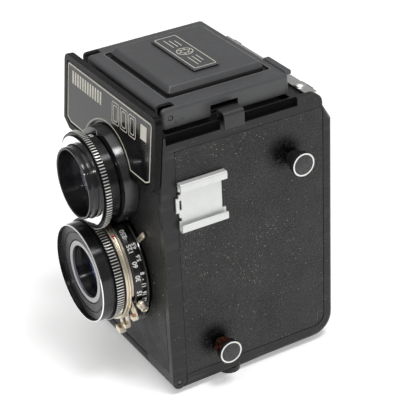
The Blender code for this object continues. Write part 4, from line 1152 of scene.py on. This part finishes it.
def shutter():
    """Shutter drum with its printed scales, the ribbed speed ring, levers and socket."""
    axis = (0, 0, TAKE_Z)
    drum = [(12.6, 6.6), (22.7, 6.6), (22.95, 6.5), (23.25, 6.3), (DRUM_R, 6.0), (24.15, 2.1),
            (24.1, 1.85), (23.9, 1.8),
            (12.6, 1.8)]
    piece("shutter_drum", lathe(drum, axis, FRONT, 144), "casing", "drum", replaces=["shutter_housing"])
    base = sector([(23.9, 2.2), (24.7, 2.1), (25.2, 1.85), (25.3, 1.65), (23.9, 1.65)], -240, 62)
    sector([(20.0, 0.42), (25.3, 0.42), (25.5, 0.3), (25.5, 0.12), (20.0, 0.12)], -240, 62, bm=base)
    piece("shutter_base", base, "casing", "drum")
    backing = sector([(20.8, 7.7), (22.2, 7.7), (22.4, 7.55), (22.4, 6.85), (22.2, 6.72), (20.8, 6.72)],
                     -9, 125)
    piece("speed_backing", backing, "casing", "cream")

    def radius_at(t):
        return DRUM_R + (6.0 - t) * 0.8 / 3.9
    print_bm = bmesh.new()
    for text, angle in (("250", 57), ("125", 41), ("60", 25), ("30", 11), ("15", -5)):
        print_on(print_bm, text, 2.0, on_barrel(TAKE_Z, angle, 5.05, radius_at))
    for text, angle in (("4.5", 42), ("5.6", 30), ("8", 15), ("11", 3), ("16", -6), ("22", -14)):
        print_on(print_bm, text, 1.7, on_barrel(TAKE_Z, angle, 3.05, radius_at))
        dot_on(print_bm, TAKE_Z, angle, 2.02, radius_at, 0.2)
    dot_on(print_bm, TAKE_Z, 9, 3.1, radius_at, 0.3)
    piece("shutter_numbers", print_bm, "casing", "white", slot=False)

    rib = 0.09
    profile = [(17.2, 9.8), (22.1, 9.8), (22.3, 9.65, rib), (22.3, 9.05, rib), (21.9, 8.9), (21.9, 8.75),
               (22.45, 8.6, rib), (22.5, 8.4, rib), (22.5, 8.0, rib), (22.3, 7.9), (17.2, 7.9)]
    ring = lathe(profile, axis, FRONT, 300, flutes=(2, (1,)))
    piece("speed_ring_ribbed", ring, "speed_ring", "cream", replaces=["speed_ring"])
    way = outward(59)
    red = lathe([(0, 0), (0.75, 0), (0.75, 0.25), (0.6, 0.35), (0, 0.38)],
                (22.1 * way.x, -8.75, TAKE_Z + 22.1 * way.z), way, 24)
    piece("speed_mark", red, "speed_ring", "red", slot=False)

    dress("aperture_lever", "lever", 0.14)
    for node in ("cocking_lever", "release_lever", "timer_lever"):
        dress(node, "cream", 0.3, 3)
    grips()
    way = outward(-15.5)
    root = (24.5 * way.x, -4.9, TAKE_Z + 24.5 * way.z)
    socket = [(0, 3.4), (0.55, 3.4), (0.6, 1.6), (0.85, 1.6), (0.9, 3.75), (1.0, 3.95), (1.35, 3.95),
              (1.5, 3.8),
              (1.5, 3.4), (1.6, 3.3), (1.6, 2.9), (1.5,
                                                   2.8), (1.5, 2.5), (1.6, 2.4), (1.6, 1.8), (1.85, 1.55),
              (1.9, 1.4), (1.9, 0.15), (1.8, 0), (0, 0)]
    piece("flash_socket", lathe(socket, root, way, 64), "casing", "cream", replaces=["sync_socket"])


def sector(profile, start, end, steps=96, bm=None):
    """Part of a ring about the taking lens axis, from (radius, distance to the front) points."""
    bm = bm or bmesh.new()
    rows = []
    for i in range(steps + 1):
        angle = start + (end - start) * i / steps
        rows.append([bm.verts.new(about(TAKE_Z, r, angle, t)) for r, t in profile])
    for a, b in zip(rows, rows[1:]):
        bridge(bm, a, b)
    bm.faces.new(rows[0])
    bm.faces.new(rows[-1][::-1])
    bmesh.ops.recalc_face_normals(bm, faces=bm.faces)
    return bm


def grips():
    """Cross-cut ridges on the levers' finger pads and the timer lever's red line."""
    for node, half_x, half_z, count in (("cocking_lever", 1.6, 1.2, 5), ("release_lever", 1.05, 0.75, 3),
                                        ("timer_lever", 1.05, 0.75, 3)):
        face = limits(node)[0].y
        middle_x, middle_z = grip_centre(node)
        bm = bmesh.new()
        for i in range(count):
            x = middle_x - half_x + (i + 0.5) * 2 * half_x / count
            box_bm((x - 0.16, x + 0.16), (face - 0.08, face + 0.12),
                   (middle_z - half_z, middle_z + half_z), bm)
        bevelled(bm, 0.05, 1)
        piece(node + "_ridges", bm, node, "cream")
    face = limits("timer_lever")[0].y
    x, z = grip_centre("timer_lever")
    mark = box_bm((x - 1.23, x - 0.6), (face + 0.35, face + 1.6), (z + 0.75, z + 0.95))
    piece("timer_mark", bevelled(mark, 0.04, 1), "timer_lever", "red", slot=False)


def grip_centre(node):
    """(x, z) of the middle of a lever's foremost face."""
    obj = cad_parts[node]
    front = min(v.co.y for v in obj.data.vertices)
    tips = [v.co for v in obj.data.vertices if v.co.y < front + 0.0001]
    x = sum(p.x for p in tips) / len(tips)
    z = sum(p.z for p in tips) / len(tips)
    return (x - DATUM.x) / MM, (z - DATUM.z) / MM


# ---------------------------------------------------------------- light and camera

VIEW_LENS = 137.76                        # focal length in millimetres, on a 36 mm sensor
VIEW_ANGLES = (60.932, 29.413, -2.908)    # azimuth, elevation and roll in degrees
VIEW_PLACE = (0.4775, -0.2570, 0.3687)    # metres in the frame


def studio():
    """Pale floor, soft light from above and around, and the camera."""
    scene = bpy.context.scene
    scene.view_settings.view_transform = "Standard"
    floor_bm = bmesh.new()
    bmesh.ops.create_grid(floor_bm, x_segments=1, y_segments=1, size=4)
    mesh = bpy.data.meshes.new("floor")
    floor_bm.to_mesh(mesh)
    floor_bm.free()
    floor = bpy.data.objects.new("floor", mesh)
    scene.collection.objects.link(floor)
    pale = Shader("pale_floor", (0.93, 0.93, 0.93), 0.6, Emission_Color=(1, 1, 1, 1),
                  Emission_Strength=0.36)
    mesh.materials.append(pale.material)

    world = bpy.data.worlds.new("studio")
    world.use_nodes = True
    background = world.node_tree.nodes["Background"]
    background.inputs["Color"].default_value = (1.0, 1.0, 0.99, 1)
    background.inputs["Strength"].default_value = 0.36
    scene.world = world
    lamps = (("key", (0.62, 0.20, 1.86), 0.45, 15.0), ("spark", (1.11, -1.0, 1.32), 0.05, 12.0),
             ("overhead", (0.1, -0.2, 2.0), 1.8, 12.0), ("front", (-0.3, -1.8, 0.9), 0.8, 0.4))
    for name, place, size, power in lamps:
        data = bpy.data.lights.new(name, "AREA")
        data.size = size
        data.energy = power
        lamp = bpy.data.objects.new(name, data)
        lamp.visible_diffuse = name != "spark"
        lamp.location = place
        lamp.rotation_mode = "QUATERNION"
        aim = Vector((0, 0, 0.06)) - Vector(place)
        lamp.rotation_quaternion = aim.to_track_quat("-Z", "Y")
        scene.collection.objects.link(lamp)

    data = bpy.data.cameras.new("view")
    data.sensor_width = 36
    data.lens = VIEW_LENS
    data.clip_start = 0.01
    data.clip_end = 20
    camera = bpy.data.objects.new("view", data)
    scene.collection.objects.link(camera)
    azimuth, elevation, roll = (math.radians(d) for d in VIEW_ANGLES)
    back = Vector((math.sin(azimuth) * math.cos(elevation), -math.cos(azimuth) * math.cos(elevation),
                   math.sin(elevation)))
    right = Vector((math.cos(azimuth), math.sin(azimuth), 0))
    up = back.cross(right)
    turned_right = right * math.cos(roll) + up * math.sin(roll)
    turned_up = up * math.cos(roll) - right * math.sin(roll)
    rotation = Matrix((turned_right, turned_up, back)).transposed()
    camera.matrix_world = Matrix.Translation(VIEW_PLACE) @ rotation.to_4x4()
    scene.camera = camera


casing()
name_plate()
boss_marks()
hood()
for knob, way, barrel_look in (("spool_knob_upper", 1, "knob"), ("spool_knob_lower", 1, "brown"),
                               ("spool_knob_left", -1, "knob")):
    spool_knob(knob, way, barrel_look)
winding_knob()
taking_lens()
viewing_lens()
shutter()
studio()
